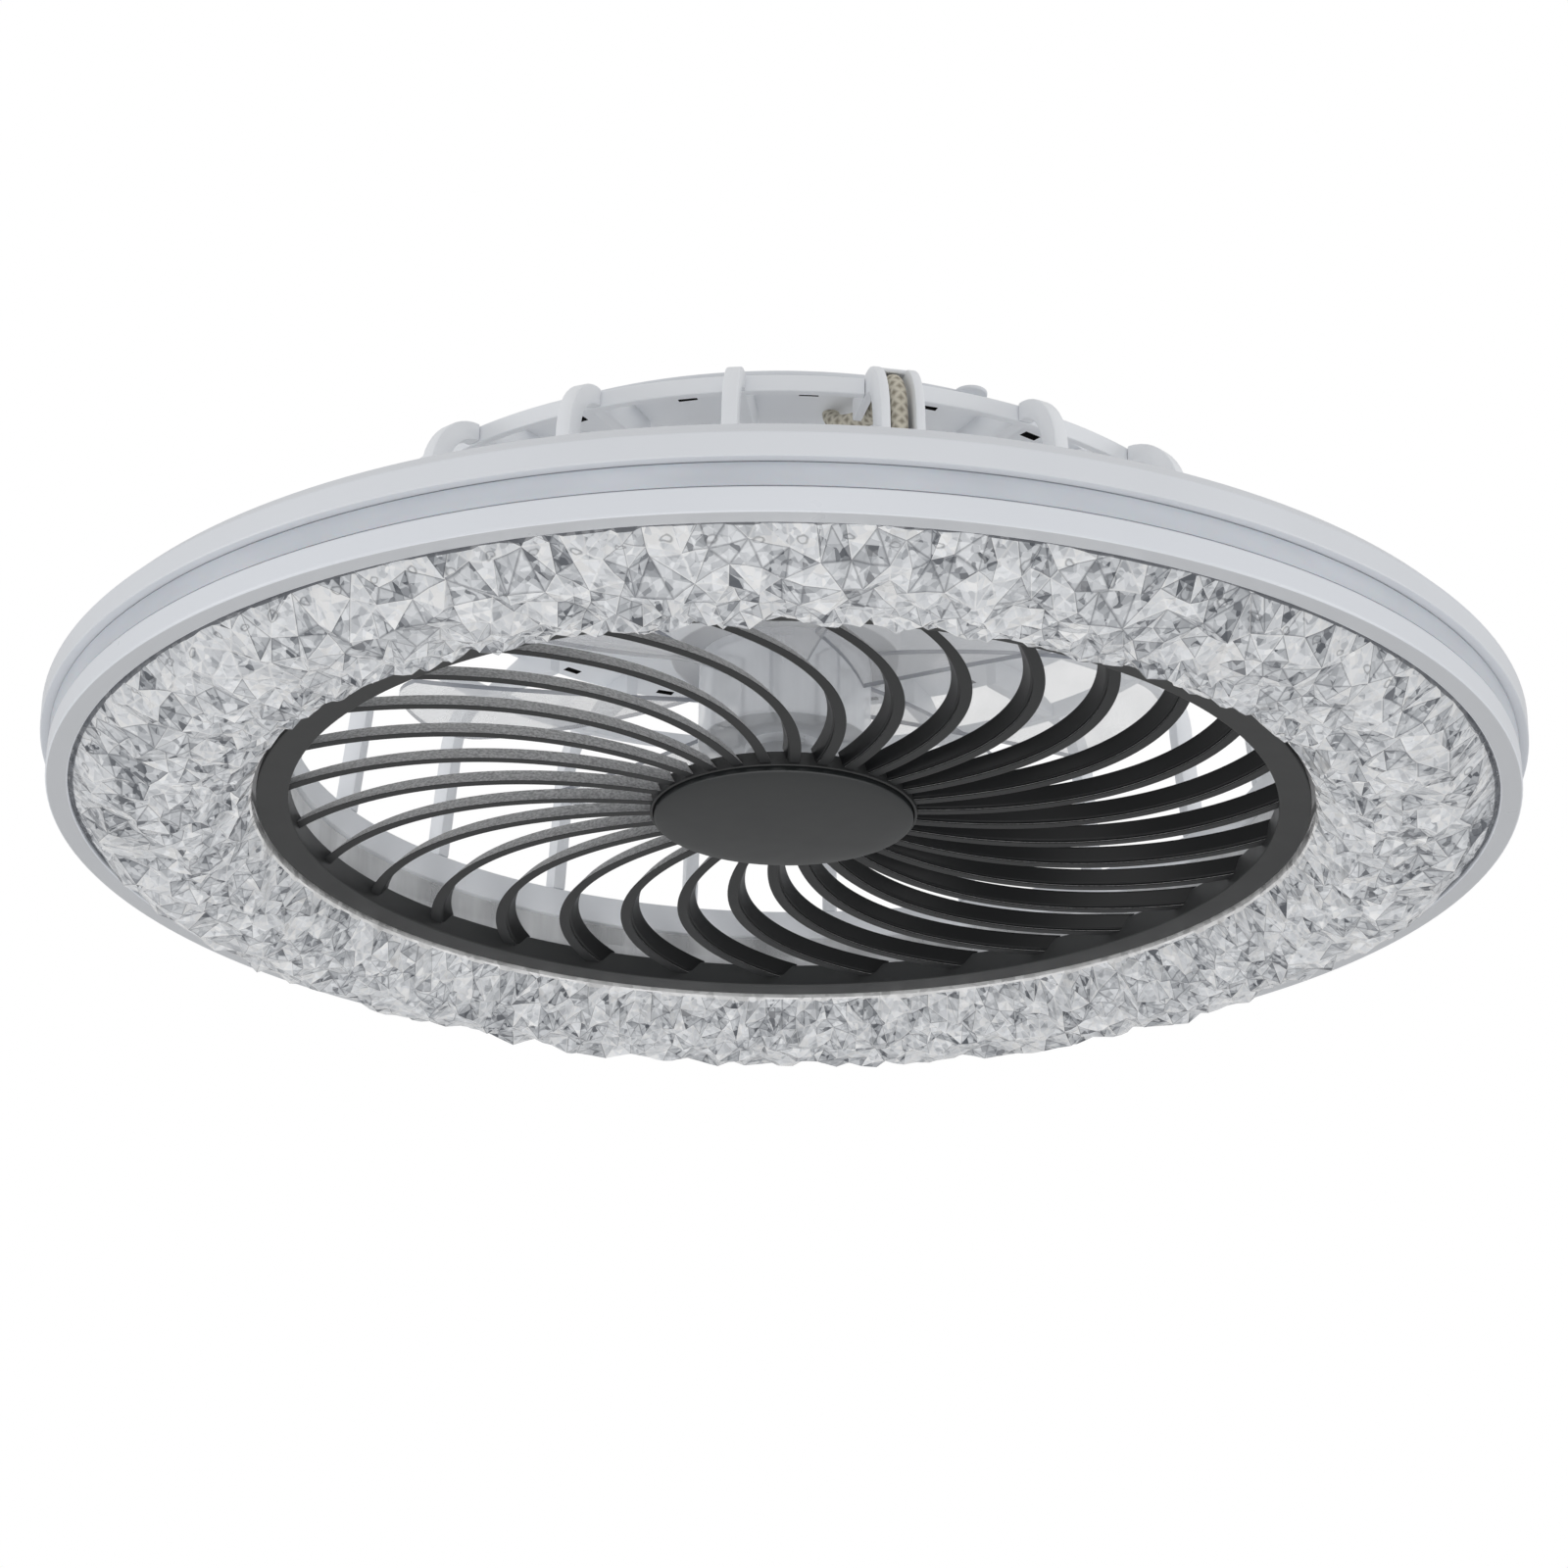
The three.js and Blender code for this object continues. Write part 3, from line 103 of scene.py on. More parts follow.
forward = Vector((0, math.cos(CAMERA_PITCH), math.sin(CAMERA_PITCH)))
level = Vector((1, 0, 0))
upright = level.cross(forward)
right = level * math.cos(CAMERA_ROLL) + upright * math.sin(CAMERA_ROLL)
up = upright * math.cos(CAMERA_ROLL) - level * math.sin(CAMERA_ROLL)

camera_data = bpy.data.cameras.new("photo_camera")
camera_data.lens = LENS_MM
camera_data.sensor_width = SENSOR_MM
camera = bpy.data.objects.new("photo_camera", camera_data)
bpy.context.scene.collection.objects.link(camera)
camera.matrix_world = Matrix((
    (right.x, up.x, -forward.x, 0),
    (right.y, up.y, -forward.y, -CAMERA_BACK),
    (right.z, up.z, -forward.z, -CAMERA_DROP),
    (0, 0, 0, 1),
))
bpy.context.scene.camera = camera
bpy.context.scene.view_settings.view_transform = "Standard"
print("camera at", tuple(round(v, 3) for v in camera.location))

# %% [markdown]
# ## Shader maths in Python
#
# A material is a tree of small nodes, and trees written out node by node are hard to read. Here one
# class wraps a socket and overloads the signs for sums, so `1 - mask * 0.3` adds its Math nodes by
# itself. Every other node comes from one method that takes its type, its settings and its inputs.


# %% A socket that takes part in sums
class Wire:
    """The output of a node, ready to be used in Python sums or as an input of another node."""

    def __init__(self, finish, socket):
        self.finish, self.socket = finish, socket

    def maths(self, operation, *values):
        return self.finish.node("ShaderNodeMath", {"operation": operation}, dict(enumerate(values)))

    def __add__(self, other):
        return self.maths("ADD", self, other)

    __radd__ = __add__

    def __sub__(self, other):
        return self.maths("SUBTRACT", self, other)

    def __rsub__(self, other):
        return self.maths("SUBTRACT", other, self)

    def __mul__(self, other):
        return self.maths("MULTIPLY", self, other)

    __rmul__ = __mul__

    def __pow__(self, other):
        return self.maths("POWER", self, other)

    def __abs__(self):
        return self.maths("ABSOLUTE", self)

    def above(self, level):
        return self.maths("GREATER_THAN", self, level)

    def least(self, other):
        return self.maths("MINIMUM", self, other)


print("signs that add nodes: + - * ** abs")


# %% A material whose nodes are added by calls
class Finish:
    """A material whose nodes are added one call at a time; `shader` is its Principled BSDF."""

    def __init__(self, name, **fixed):
        self.material = bpy.data.materials.new(name)
        self.material.use_nodes = True
        self.tree = self.material.node_tree
        self.tree.nodes.clear()
        output = self.tree.nodes.new("ShaderNodeOutputMaterial")
        self.shader = self.tree.nodes.new("ShaderNodeBsdfPrincipled")
        self.tree.links.new(self.shader.outputs[0], output.inputs[0])
        for socket, value in fixed.items():
            self.set(socket.replace("_", " ").title().replace("Ior", "IOR"), value)

    def node(self, kind, settings=None, inputs=None, output=0):
        added = self.tree.nodes.new(kind)
        for key, value in (settings or {}).items():
            if key == "stops":
                self.set_stops(added.color_ramp, value)
            else:
                setattr(added, key, value)
        for key, value in (inputs or {}).items():
            self.join(added.inputs[key], value)
        return Wire(self, added.outputs[output])

    def set_stops(self, ramp, stops):
        while len(ramp.elements) < len(stops):
            ramp.elements.new(0.5)
        for element, (place, colour) in zip(ramp.elements, stops):
            element.position = place
            element.color = (*colour, 1)

    def join(self, socket, value):
        if isinstance(value, Wire):
            self.tree.links.new(value.socket, socket)
        elif isinstance(value, tuple) and len(value) == 3 and socket.type == "RGBA":
            socket.default_value = (*value, 1)
        else:
            socket.default_value = value

    def set(self, name, value):
        self.join(self.shader.inputs[name], value)

    def place(self):
        return self.node("ShaderNodeTexCoord", output="Object")

    def normal(self):
        return self.node("ShaderNodeNewGeometry", output="Normal")

    def parts(self, vector, axes=(0, 1, 2)):
        return [self.node("ShaderNodeSeparateXYZ", inputs={0: vector}, output=axis) for axis in axes]

    def vector_maths(self, operation, *values):
        return self.node("ShaderNodeVectorMath", {"operation": operation}, dict(enumerate(values)))

    def stretched(self, scale):
        return self.node("ShaderNodeMapping", inputs={"Vector": self.place(), "Scale": scale})

    def noise(self, scale, detail=3.0, vector=None):
        inputs = {"Vector": vector or self.place(), "Scale": scale, "Detail": detail}
        return self.node("ShaderNodeTexNoise", inputs=inputs)

    def cells(self, scale, feature="F1", output="Distance", vector=None):
        inputs = {"Vector": vector or self.place(), "Scale": scale}
        return self.node("ShaderNodeTexVoronoi", {"feature": feature}, inputs, output)

    def attribute(self, name, output="Fac"):
        return self.node("ShaderNodeAttribute", {"attribute_name": name}, output=output)

    def facing_down(self):
        """1 where a face looks straight down, 0 where it stands upright."""
        return self.parts(self.normal(), [2])[0] * -1

    def ramp(self, factor, stops):
        return self.node("ShaderNodeValToRGB", {"stops": stops}, {"Fac": factor})

    def blend(self, factor, first, second, mode="MIX"):
        settings = {"data_type": "RGBA", "blend_type": mode}
        return self.node("ShaderNodeMix", settings, {0: factor, 6: first, 7: second}, output=2)

    def bump(self, height, strength, distance):
        inputs = {"Height": height, "Strength": strength, "Distance": distance}
        self.set("Normal", self.node("ShaderNodeBump", inputs=inputs))


print("shader helpers ready")

# %% [markdown]
# ## Moulded plastics
#
# The white parts are glossy moulded plastic with a very fine skin. A plain colour would look like
# paint, so each finish drifts a little in tone over a few centimetres, its gloss varies, and a faint
# bump breaks the reflections. The black grille has a coarser spark-eroded grain that catches light.

# %% White, trim, black and dark finishes
DRIFT_SCALE, GLOSS_SCALE, SKIN_SCALE, GRAIN_SCALE = 14.0, 60.0, 1400.0, 1900.0
GLOSS_RANGE = 0.12
SKIN_DEPTH = 0.00002
NEARLY_DOWN, FLAT_DOWN = 0.90, 0.97
BLACK, WHITE = (0, 0, 0), (1, 1, 1)


def moulded(name, colour, roughness, drift=0.04, grain=SKIN_SCALE, strength=0.25, underside=None):
    """Moulded plastic: a slow drift of tone, uneven gloss and a fine skin, and painted shade on faces that
    look down when a shade is given.
    """
    finish = Finish(name)
    darker = tuple(channel * (1 - drift) for channel in colour)
    lighter = tuple(min(1.0, channel * (1 + drift)) for channel in colour)
    tone = finish.blend(finish.noise(DRIFT_SCALE), darker, lighter)
    if underside:
        # Painted shade: faces that look down are multiplied by the darker shade.
        shade = finish.ramp(finish.facing_down(), [(NEARLY_DOWN, WHITE), (FLAT_DOWN, underside)])
        tone = finish.blend(1.0, tone, shade, "MULTIPLY")
    finish.set("Base Color", tone)
    finish.set("Roughness", roughness + GLOSS_RANGE * (finish.noise(GLOSS_SCALE) - 0.5))
    finish.bump(finish.noise(grain, 2.0), strength, SKIN_DEPTH)
    return finish


white = moulded("satin_white", (0.735, 0.757, 0.795), 0.34)
# A lighter copy of the satin white: painted light that makes up for the shade the lamp ring casts on the
# cage.
cage_white = moulded("cage_white", (0.88, 0.90, 0.93), 0.38, drift=0.03)
# The trim's lip underside gets a painted shade, a little darker and warmer.
trim = moulded("cool_white_trim", (0.755, 0.78, 0.825), 0.30, drift=0.02, underside=(0.73, 0.725, 0.715))
tray = moulded("white_sheet_steel", (0.72, 0.72, 0.73), 0.45)
black = moulded("black_flange", (0.020, 0.021, 0.0215), 0.48, drift=0.10, grain=GRAIN_SCALE, strength=0.35)
cap_black = moulded("black_cap", (0.010, 0.012, 0.0128), 0.36, drift=0.05)
motor_grey = moulded("motor_grey", (0.80, 0.81, 0.83), 0.35)
box_white = moulded("matt_white_box", (0.72, 0.72, 0.72), 0.6)
board_white = moulded("white_board", (0.78, 0.78, 0.76), 0.5)
magnet_dark = moulded("magnetic_strip", (0.035, 0.035, 0.036), 0.65)
# Painted shade: near black for the slot walls and for the sheets laid behind the slots.
slot_shade_finish = moulded("dark_slot_lining", (0.006, 0.006, 0.006), 0.8)
print("moulded finishes:", white.material.name, black.material.name)


# %% Vane finish
SAND_SCALE, SAND_DEPTH = 900.0, 0.00004
DEEP_ROUGHNESS, SANDY_ROUGHNESS = 0.38, 0.25
# Painted shade: tones darker than the grille's black for the flanks that look down and the crest.
PAINTED_SHADE_TONES = (0.0065, 0.007, 0.0078), (0.010, 0.0105, 0.011)
FOOT_TONE = (0.022, 0.023, 0.024)


def vane_finish():
    """Black plastic: flanks that look up are matt, with a painted sheen of light sandy speckles; faces that
    look straight down keep the grille's black, and the other faces are darker as painted shade.
    """
    finish = Finish("black_vane", specular_ior_level=0.18)
    down = finish.facing_down()
    # Painted sheen: flanks that look up, but not straight up, take light sandy speckles in their colour.
    sheen_flank = finish.ramp(down * -1, [(0.06, BLACK), (0.20, WHITE), (0.80, WHITE), (0.92, BLACK)])
    sand = finish.noise(SAND_SCALE, 2.0)
    grain = finish.ramp(sand, [(0.35, (0.28, 0.28, 0.281)), (0.65, (0.54, 0.54, 0.541))])
    # The other faces take the painted shade tones.
    painted_shade_tone = finish.blend(finish.noise(DRIFT_SCALE), *PAINTED_SHADE_TONES)
    # Faces that look straight down keep a black like the flange's.
    foot = finish.ramp(down, [(NEARLY_DOWN, BLACK), (0.98, WHITE)])
    dark = finish.blend(foot, painted_shade_tone, FOOT_TONE)
    finish.set("Base Color", finish.blend(sheen_flank, dark, grain))
    finish.set("Roughness", DEEP_ROUGHNESS + sheen_flank * SANDY_ROUGHNESS)
    finish.bump(sand, 0.5, SAND_DEPTH)
    return finish


vane_black = vane_finish()
print("vane finish:", vane_black.material.name)

# %% [markdown]
# ## Diffuser, metals, sleeve and clear plastic
#
# The side diffuser is milky, so light gets a little way in: Subsurface does that. Steel is brushed by
# stretching a noise until it makes streaks. The clear parts mix a see-through body with a Fresnel
# edge: seen square on they almost vanish, seen edge on they turn grey and shine. A faint emission
# makes them glow as painted light, and marked rims take a painted tone.


# %% Diffuser and metals
MILKY_DEPTH, BAND_SCALE, BAND_STRETCH = 0.004, 5.0, (3.0, 3.0, 12.0)
BRUSH_SCALE, BRUSH_TONE, BRUSH_GLOSS, BRUSH_DEPTH = 6.0, 0.86, 0.2, 0.00003


def milky():
    """Satin diffuser strip with soft, slow bands of tone along its length."""
    finish = Finish("milky_diffuser", subsurface_weight=0.15, roughness=0.42)
    finish.set("Subsurface Scale", MILKY_DEPTH)
    bands = finish.noise(BAND_SCALE, vector=finish.stretched(BAND_STRETCH))
    finish.set("Base Color", finish.ramp(bands, [(0.3, (0.53, 0.56, 0.61)), (0.7, (0.63, 0.66, 0.71))]))
    finish.bump(finish.noise(SAND_SCALE), 0.12, SKIN_DEPTH)
    return finish


def metal(name, colour, roughness, stretch=(40.0, 40.0, 900.0)):
    """Brushed or plated metal: streaks in its gloss and tone."""
    finish = Finish(name, metallic=1.0)
    streaks = finish.noise(BRUSH_SCALE, 4.0, finish.stretched(stretch))
    dark = tuple(channel * BRUSH_TONE for channel in colour)
    finish.set("Base Color", finish.blend(streaks, dark, colour))
    finish.set("Roughness", roughness + BRUSH_GLOSS * (streaks - 0.5))
    finish.bump(streaks, 0.15, BRUSH_DEPTH)
    return finish


diffuser = milky()
steel = metal("zinc_steel", (0.60, 0.61, 0.62), 0.34)
screw_steel = metal("screw_steel", (0.66, 0.66, 0.67), 0.28, (500.0, 500.0, 500.0))
copper = metal("enamelled_copper", (0.62, 0.33, 0.18), 0.35, (900.0, 900.0, 300.0))
print("metals:", steel.material.name, copper.material.name)


# %% Clear plastic and braided sleeve
EDGE_BLEND, RIM_DENSITY = 0.35, 0.82
STREAK_SCALE, STREAK_STRETCH = 7.0, (9.0, 9.0, 1.5)
THREAD_SHARE, FUZZ_SCALE, THREAD_DEPTH = 0.7, 220.0, 0.0003


def clear(name, colour, body, edge, streak=0.0, painted_rim_tone=None, painted_glow=0.0):
    """Clear plastic: see-through face on, denser towards its outline; faces marked `rim` are solid in a
    painted rim tone, and a faint emission is painted light.
    """
    # Painted light: a faint emission in the part's colour, so the clear part glows though it is no lamp.
    finish = Finish(name, roughness=0.08, emission_strength=painted_glow)
    finish.set("Emission Color", colour)
    facing = finish.node("ShaderNodeLayerWeight", inputs={"Blend": EDGE_BLEND}, output="Facing")
    streaks = finish.noise(STREAK_SCALE, 4.0, finish.stretched(STREAK_STRETCH))
    rim = finish.attribute("rim")
    density = body + edge * facing ** 2.0 + streak * (streaks - 0.5)
    finish.set("Alpha", density * (1 - rim) + rim * RIM_DENSITY)
    # Rim faces take the painted rim tone: a dark painted shade on the blades and the hub's ribs.
    finish.set("Base Color", finish.blend(rim, colour, painted_rim_tone or colour))
    return finish


def braided():
    """Woven glass-fibre sleeve: two sets of threads that cross, from the piece's own UV map."""
    finish = Finish("braided_sleeve", roughness=0.85)
    uv = finish.node("ShaderNodeUVMap", {"uv_map": "weave"})
    mirrored = finish.node("ShaderNodeMapping", inputs={"Vector": uv, "Scale": (-1.0, 1.0, 1.0)})
    threads = [
        finish.node("ShaderNodeTexWave", {"bands_direction": "DIAGONAL"}, {"Vector": way, "Scale": 1.0})
        for way in (uv, mirrored)]
    weave = threads[0].maths("MAXIMUM", *threads)
    tone = weave * THREAD_SHARE + finish.noise(FUZZ_SCALE) * (1 - THREAD_SHARE)
    finish.set("Base Color", finish.ramp(tone, [(0.2, (0.30, 0.27, 0.21)), (0.85, (0.66, 0.62, 0.52))]))
    finish.bump(weave, 0.8, THREAD_DEPTH)
    return finish


blade_clear = clear("clear_blade", (0.80, 0.81, 0.83), 0.20, 0.50, 0.16, (0.16, 0.18, 0.22), painted_glow=0.04)
hub_clear = clear("clear_hub", (0.90, 0.92, 0.95), 0.30, 0.45, 0.20, painted_glow=0.11)
wall_clear = clear("clear_wall", (0.90, 0.91, 0.92), 0.32, 0.35, 0.60, (0.95, 0.96, 0.97), painted_glow=0.12)
sleeve = braided()
print("clear finishes:", blade_clear.material.name, wall_clear.material.name)

# %% [markdown]
# ## Crystal finish
#
# The crystals are clear plastic over a white board. Every facet shows something else: the board, a
# neighbour, or a bright patch of the room. These are painted reflections: each facet and each splinter
# of it carries a random tone, stored when the crystals are made, which the finish turns into greys up to
# white glints. The finish adds shards of tone inside the facets, a thin painted line along each edge,
# white on pale facets and dark on the others, and, near the lip, the rims of the light chips behind the
# plastic. A pale band along the inner rim is a painted highlight, and a dark band by the lip a painted
# shadow.


# %% Crystal finish
# Colour of the painted shade on dark edge lines.
EDGE_SHADE = (0.15, 0.16, 0.18)
# Colour of the painted shadow by the lip.
LIP_SHADE = (0.20, 0.21, 0.23)
CHIP_SHADE = (0.10, 0.105, 0.115)
WARP_SCALE, WARP_REACH, SHARD_SCALE = 160.0, 0.004, 330.0
EDGE_SHARPNESS, RING_SHARPNESS, PALE_SHARE = 15.0, 1500.0, 0.45
FACET_SHARE, SPLINTER_SHARE, SHARD_SHARE = 0.36, 0.26, 0.38
EDGE_STRENGTH, RING_STRENGTH, FACET_TILT = 0.7, 0.6, 0.5
CHIP_COUNT = 112
CHIP_CIRCLE = 0.2590
CHIP_RADIUS = 0.0016
CHIP_FLATNESS = 1.8
# A painted highlight: a pale band inside this radius.
INNER_HIGHLIGHT_EDGE = 0.2006
# A painted shadow beyond this radius, where the crystals meet the lip.
LIP_SHADOW_EDGE = 0.2648


def axis_distance(x, y):
    return (x * x + y * y) ** 0.5


def crystal_finish():
    """Clear cut plastic: painted reflections as a tone for each facet and splinters inside, painted edge
    lines, light chips behind, a painted highlight at the inner rim and a painted shadow by the lip.
    """
    finish = Finish("cut_crystal", roughness=0.07, transmission_weight=0.20, ior=1.47, coat_weight=0.3)
    place = finish.place()
    noise = finish.node("ShaderNodeTexNoise", inputs={"Vector": place, "Scale": WARP_SCALE}, output="Color")
    warp = finish.vector_maths("MULTIPLY_ADD", noise, (WARP_REACH,) * 3, place)
    shards = finish.cells(SHARD_SCALE, output="Color", vector=warp)
    # Painted reflections: random tones for each facet and splinter, mixed with shards below.
    reflection_tones = finish.attribute("facet_tone"), finish.attribute("splinter_tone")
    tone = reflection_tones[0] * FACET_SHARE + reflection_tones[1] * SPLINTER_SHARE + shards * SHARD_SHARE
    # The ramp turns the tones into painted reflections, from dark greys to white glints.
    grey = finish.ramp(tone, [
        (0.20, (0.14, 0.15, 0.17)), (0.32, (0.50, 0.52, 0.55)), (0.50, (0.78, 0.80, 0.83)),
        (0.65, (0.92, 0.94, 0.97)), (0.74, WHITE)])
    corners = finish.parts(finish.attribute("facet_corner", "Vector"))
    edge = corners[0].least(corners[1]).least(corners[2])
    line = 1 - (edge * EDGE_SHARPNESS).least(1.0)
    # Painted edge lines: white on pale facets as a painted highlight, dark on the others as painted shade.
    edge_glint_and_shade = finish.blend(reflection_tones[0].above(PALE_SHARE), EDGE_SHADE, WHITE)
    cut = finish.blend(line * EDGE_STRENGTH, grey, edge_glint_and_shade)
    cut = finish.blend(chip_rings(*finish.parts(warp, (0, 1))) * RING_STRENGTH, cut, CHIP_SHADE)
    radius = axis_distance(*finish.parts(place, (0, 1)))
    # Painted highlight: a pale band along the inner rim.
    cut = finish.blend(1 - radius.above(INNER_HIGHLIGHT_EDGE), cut, WHITE)
    # Painted shadow: a dark band where the crystals meet the lip.
    finish.set("Base Color", finish.blend(radius.above(LIP_SHADOW_EDGE), cut, LIP_SHADE))
    tilt = finish.vector_maths("MULTIPLY_ADD", shards, (FACET_TILT,) * 3, (-FACET_TILT / 2,) * 3)
    bent = finish.vector_maths("ADD", finish.normal(), tilt)
    finish.set("Normal", finish.vector_maths("NORMALIZE", bent))
    return finish


def chip_rings(x, y):
    """A mask of small rings on one circle: the rims of the light chips, seen through the plastic."""
    turns = x.maths("ARCTAN2", y, x) * (CHIP_COUNT / FULL_TURN)
    along = (turns.maths("FRACT", turns) - 0.5) * (FULL_TURN * CHIP_CIRCLE / CHIP_COUNT)
    across = (axis_distance(x, y) - CHIP_CIRCLE) * CHIP_FLATNESS
    rim = abs(axis_distance(along, across) - CHIP_RADIUS)
    return 1 - (rim * RING_SHARPNESS).least(1.0)


crystal = crystal_finish()
print("crystal finish:", crystal.material.name)

# %% [markdown]
# ## Light and backdrop
#
# The photograph has a pure white backdrop and soft, even light. The world gives most of the light, and
# where the camera or a clear part looks past the fan it shows plain white. Large lamps below and in
# front light the underside and the bands, and two at the sides lift the ends of the bands. A grey
# floor lies far below, out of the camera's view.

# %% World, lamps and floor
WORLD_LEVEL = 0.64
KEY_WATTS = 12.0
UNDER_WATTS = 12.0
FRONT_WATTS = 6.5
SIDE_WATTS = 11.0
FLOOR_HEIGHT = -1.9
FLOOR_HALF = 6.0

world = bpy.data.worlds.new("soft_studio")
bpy.context.scene.world = world
world.use_nodes = True
world.node_tree.nodes.clear()


def add_node(tree, kind, inputs=None, **settings):
    """Adds a node to any tree, with its settings and with a value or a link for each input."""
    node = tree.nodes.new(kind)
    for key, value in settings.items():
        setattr(node, key, value)
    for key, value in (inputs or {}).items():
        if isinstance(value, bpy.types.NodeSocket):
            tree.links.new(value, node.inputs[key])
        else:
            node.inputs[key].default_value = value
    return node


def light_the_world(tree):
    """An even grey light, and plain white where the camera or a clear part looks past the fan."""
    plain, seen = (
        add_node(tree, "ShaderNodeBackground", {"Color": (1, 1, 1, 1), "Strength": level}).outputs[0]
        for level in (WORLD_LEVEL, 1.0))
    rays = add_node(tree, "ShaderNodeLightPath").outputs
    either = add_node(tree, "ShaderNodeMath", {
        0: rays["Is Camera Ray"], 1: rays["Is Transmission Ray"]}, operation="MAXIMUM")
    chosen = add_node(tree, "ShaderNodeMixShader", {0: either.outputs[0], 1: plain, 2: seen})
    add_node(tree, "ShaderNodeOutputWorld", {0: chosen.outputs[0]})


light_the_world(world.node_tree)


def soft_lamp(name, place, watts, size):
    """A square lamp that faces the middle of the fan."""
    data = bpy.data.lights.new(name, "AREA")
    data.energy = watts
    data.size = size
    lamp = bpy.data.objects.new(name, data)
    bpy.context.scene.collection.objects.link(lamp)
    lamp.location = place
    lamp.rotation_euler = (-Vector(place)).to_track_quat("-Z", "Y").to_euler()


soft_lamp("key_lamp", (-0.1, -1.2, -1.6), KEY_WATTS, 1.2)
soft_lamp("under_lamp", (0, 0.4, -1.8), UNDER_WATTS, 1.6)
soft_lamp("front_lamp", (0.3, -2.6, 0.9), FRONT_WATTS, 1.6)
for side in (-1, 1):
    soft_lamp("side_lamp", (2.4 * side, -0.4, -0.3), SIDE_WATTS, 1.2)


def floor_sheet():
    corners = [Vector((x, y)) * FLOOR_HALF for x, y in ((-1, -1), (1, -1), (1, 1), (-1, 1))]
    mesh = bpy.data.meshes.new("studio_floor")
    mesh.from_pydata([(*corner, FLOOR_HEIGHT) for corner in corners], [], [(0, 1, 2, 3)])
    floor = bpy.data.objects.new("studio_floor", mesh)
    bpy.context.scene.collection.objects.link(floor)
    grey = Finish("grey_floor", roughness=0.9)
    grey.set("Base Color", grey.blend(grey.noise(2.0), (0.43, 0.43, 0.43), (0.47, 0.47, 0.47)))
    mesh.materials.append(grey.material)


floor_sheet()
print("studio ready")

# %% [markdown]
# ## Making pieces
#
# Most parts are turned: a closed outline of radius and height swept round the axis. Real edges are
# never perfectly sharp, so each corner of an outline is rounded first, and extra rings close to the
# rounding keep the flat faces flat when they are shaded smooth. Fins and ribs are plates: an outline
# in the radial plane with a thickness, finished with a Bevel modifier.


# %% Keep a piece
SMOOTH_DEGREES = 35.0


def keep(name, vertices, faces, finish, body="housing", slot=None, replaces=(),
         smooth_degrees=SMOOTH_DEGREES):
    """Makes an object at the origin from points in metres, and tells the frame about it."""
    mesh = bpy.data.meshes.new(name)
    mesh.from_pydata([tuple(v) for v in vertices], [], faces)
    mesh.validate()
    mesh.materials.append(finish.material)
    piece = bpy.data.objects.new(name, mesh)
    bpy.context.scene.collection.objects.link(piece)
    soften(mesh, smooth_degrees)
    if body:
        settle(piece, body, replaces)
    return piece


def soften(mesh, degrees):
    """Smooth shading, with edges sharper than the given angle kept sharp."""
    mesh.shade_smooth()
    mesh.set_sharp_from_angle(angle=math.radians(degrees))


def settle(piece, body, replaces=()):
    """Hangs a piece on the body it rides on and hides the nodes it stands for."""
    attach(piece, body)
    if replaces:
        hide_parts(*replaces)


def plain_copy(piece):
    """Applies a piece's modifiers: the evaluated shape becomes its mesh, and the modifiers go."""
    evaluated = piece.evaluated_get(bpy.context.evaluated_depsgraph_get())
    mesh = bpy.data.meshes.new_from_object(evaluated)
    piece.modifiers.clear()
    old = piece.data
    piece.data = mesh
    mesh.name = piece.name
    bpy.data.meshes.remove(old)


print("edges below", SMOOTH_DEGREES, "degrees are shaded smooth")

# %% Outlines
TINY = 1e-6
SLIGHT_TURN = math.radians(12)
LONGEST_ROUNDING = 0.35
GUARD_REACH, GUARD_LIMIT = 1.5, 6.0


def section(inner, outer, bottom, top):
    """Outline of a plain ring or block."""
    return [(inner, bottom), (outer, bottom), (outer, top), (inner, top)]


def arc(centre, radii, start, end, steps=12):
    """Points of an ellipse's arc; start and end count quarter turns from the radial direction."""
    points = []
    for i in range(steps + 1):
        angle = (start + (end - start) * i / steps) * math.pi / 2
        points.append((centre[0] + radii[0] * math.cos(angle), centre[1] + radii[1] * math.sin(angle)))
    return points


def rounded(outline, radius, steps=3):
    """Rounds the corners of a closed outline, and adds points beside each rounding."""
    points = []
    count = len(outline)
    for i in range(count):
        before, corner, after = (Vector(outline[(i + k) % count]) for k in (-1, 0, 1))
        sides = [before - corner, after - corner]
        shortest = min(side.length for side in sides)
        if corner.x < TINY or shortest < TINY or math.pi - sides[0].angle(sides[1]) < SLIGHT_TURN:
            points.append(corner)
            continue
        reach = min(radius, LONGEST_ROUNDING * shortest)
        start, end = (corner + side.normalized() * reach for side in sides)
        guards = [
            [corner + side.normalized() * reach * GUARD_REACH] if side.length > GUARD_LIMIT * reach else []
            for side in sides]
        curve = [
            start * (1 - share) ** 2 + corner * 2 * share * (1 - share) + end * share ** 2
            for share in (k / steps for k in range(steps + 1))]
        points += guards[0] + curve + guards[1]
    return points


def outwards(outline):
    """The outline's points in the order that makes its faces look outwards."""
    points = [Vector(point) for point in outline]
    area = sum(a.x * b.y - b.x * a.y for a, b in zip(points, points[1:] + points[:1]))
    return points[::-1] if area < 0 else points


print("a rounded square has", len(rounded(section(5.0, 15.0, 0.0, 10.0), 1.0)), "points")

# %% Shapes from outlines
BEVEL_DEGREES = 40.0


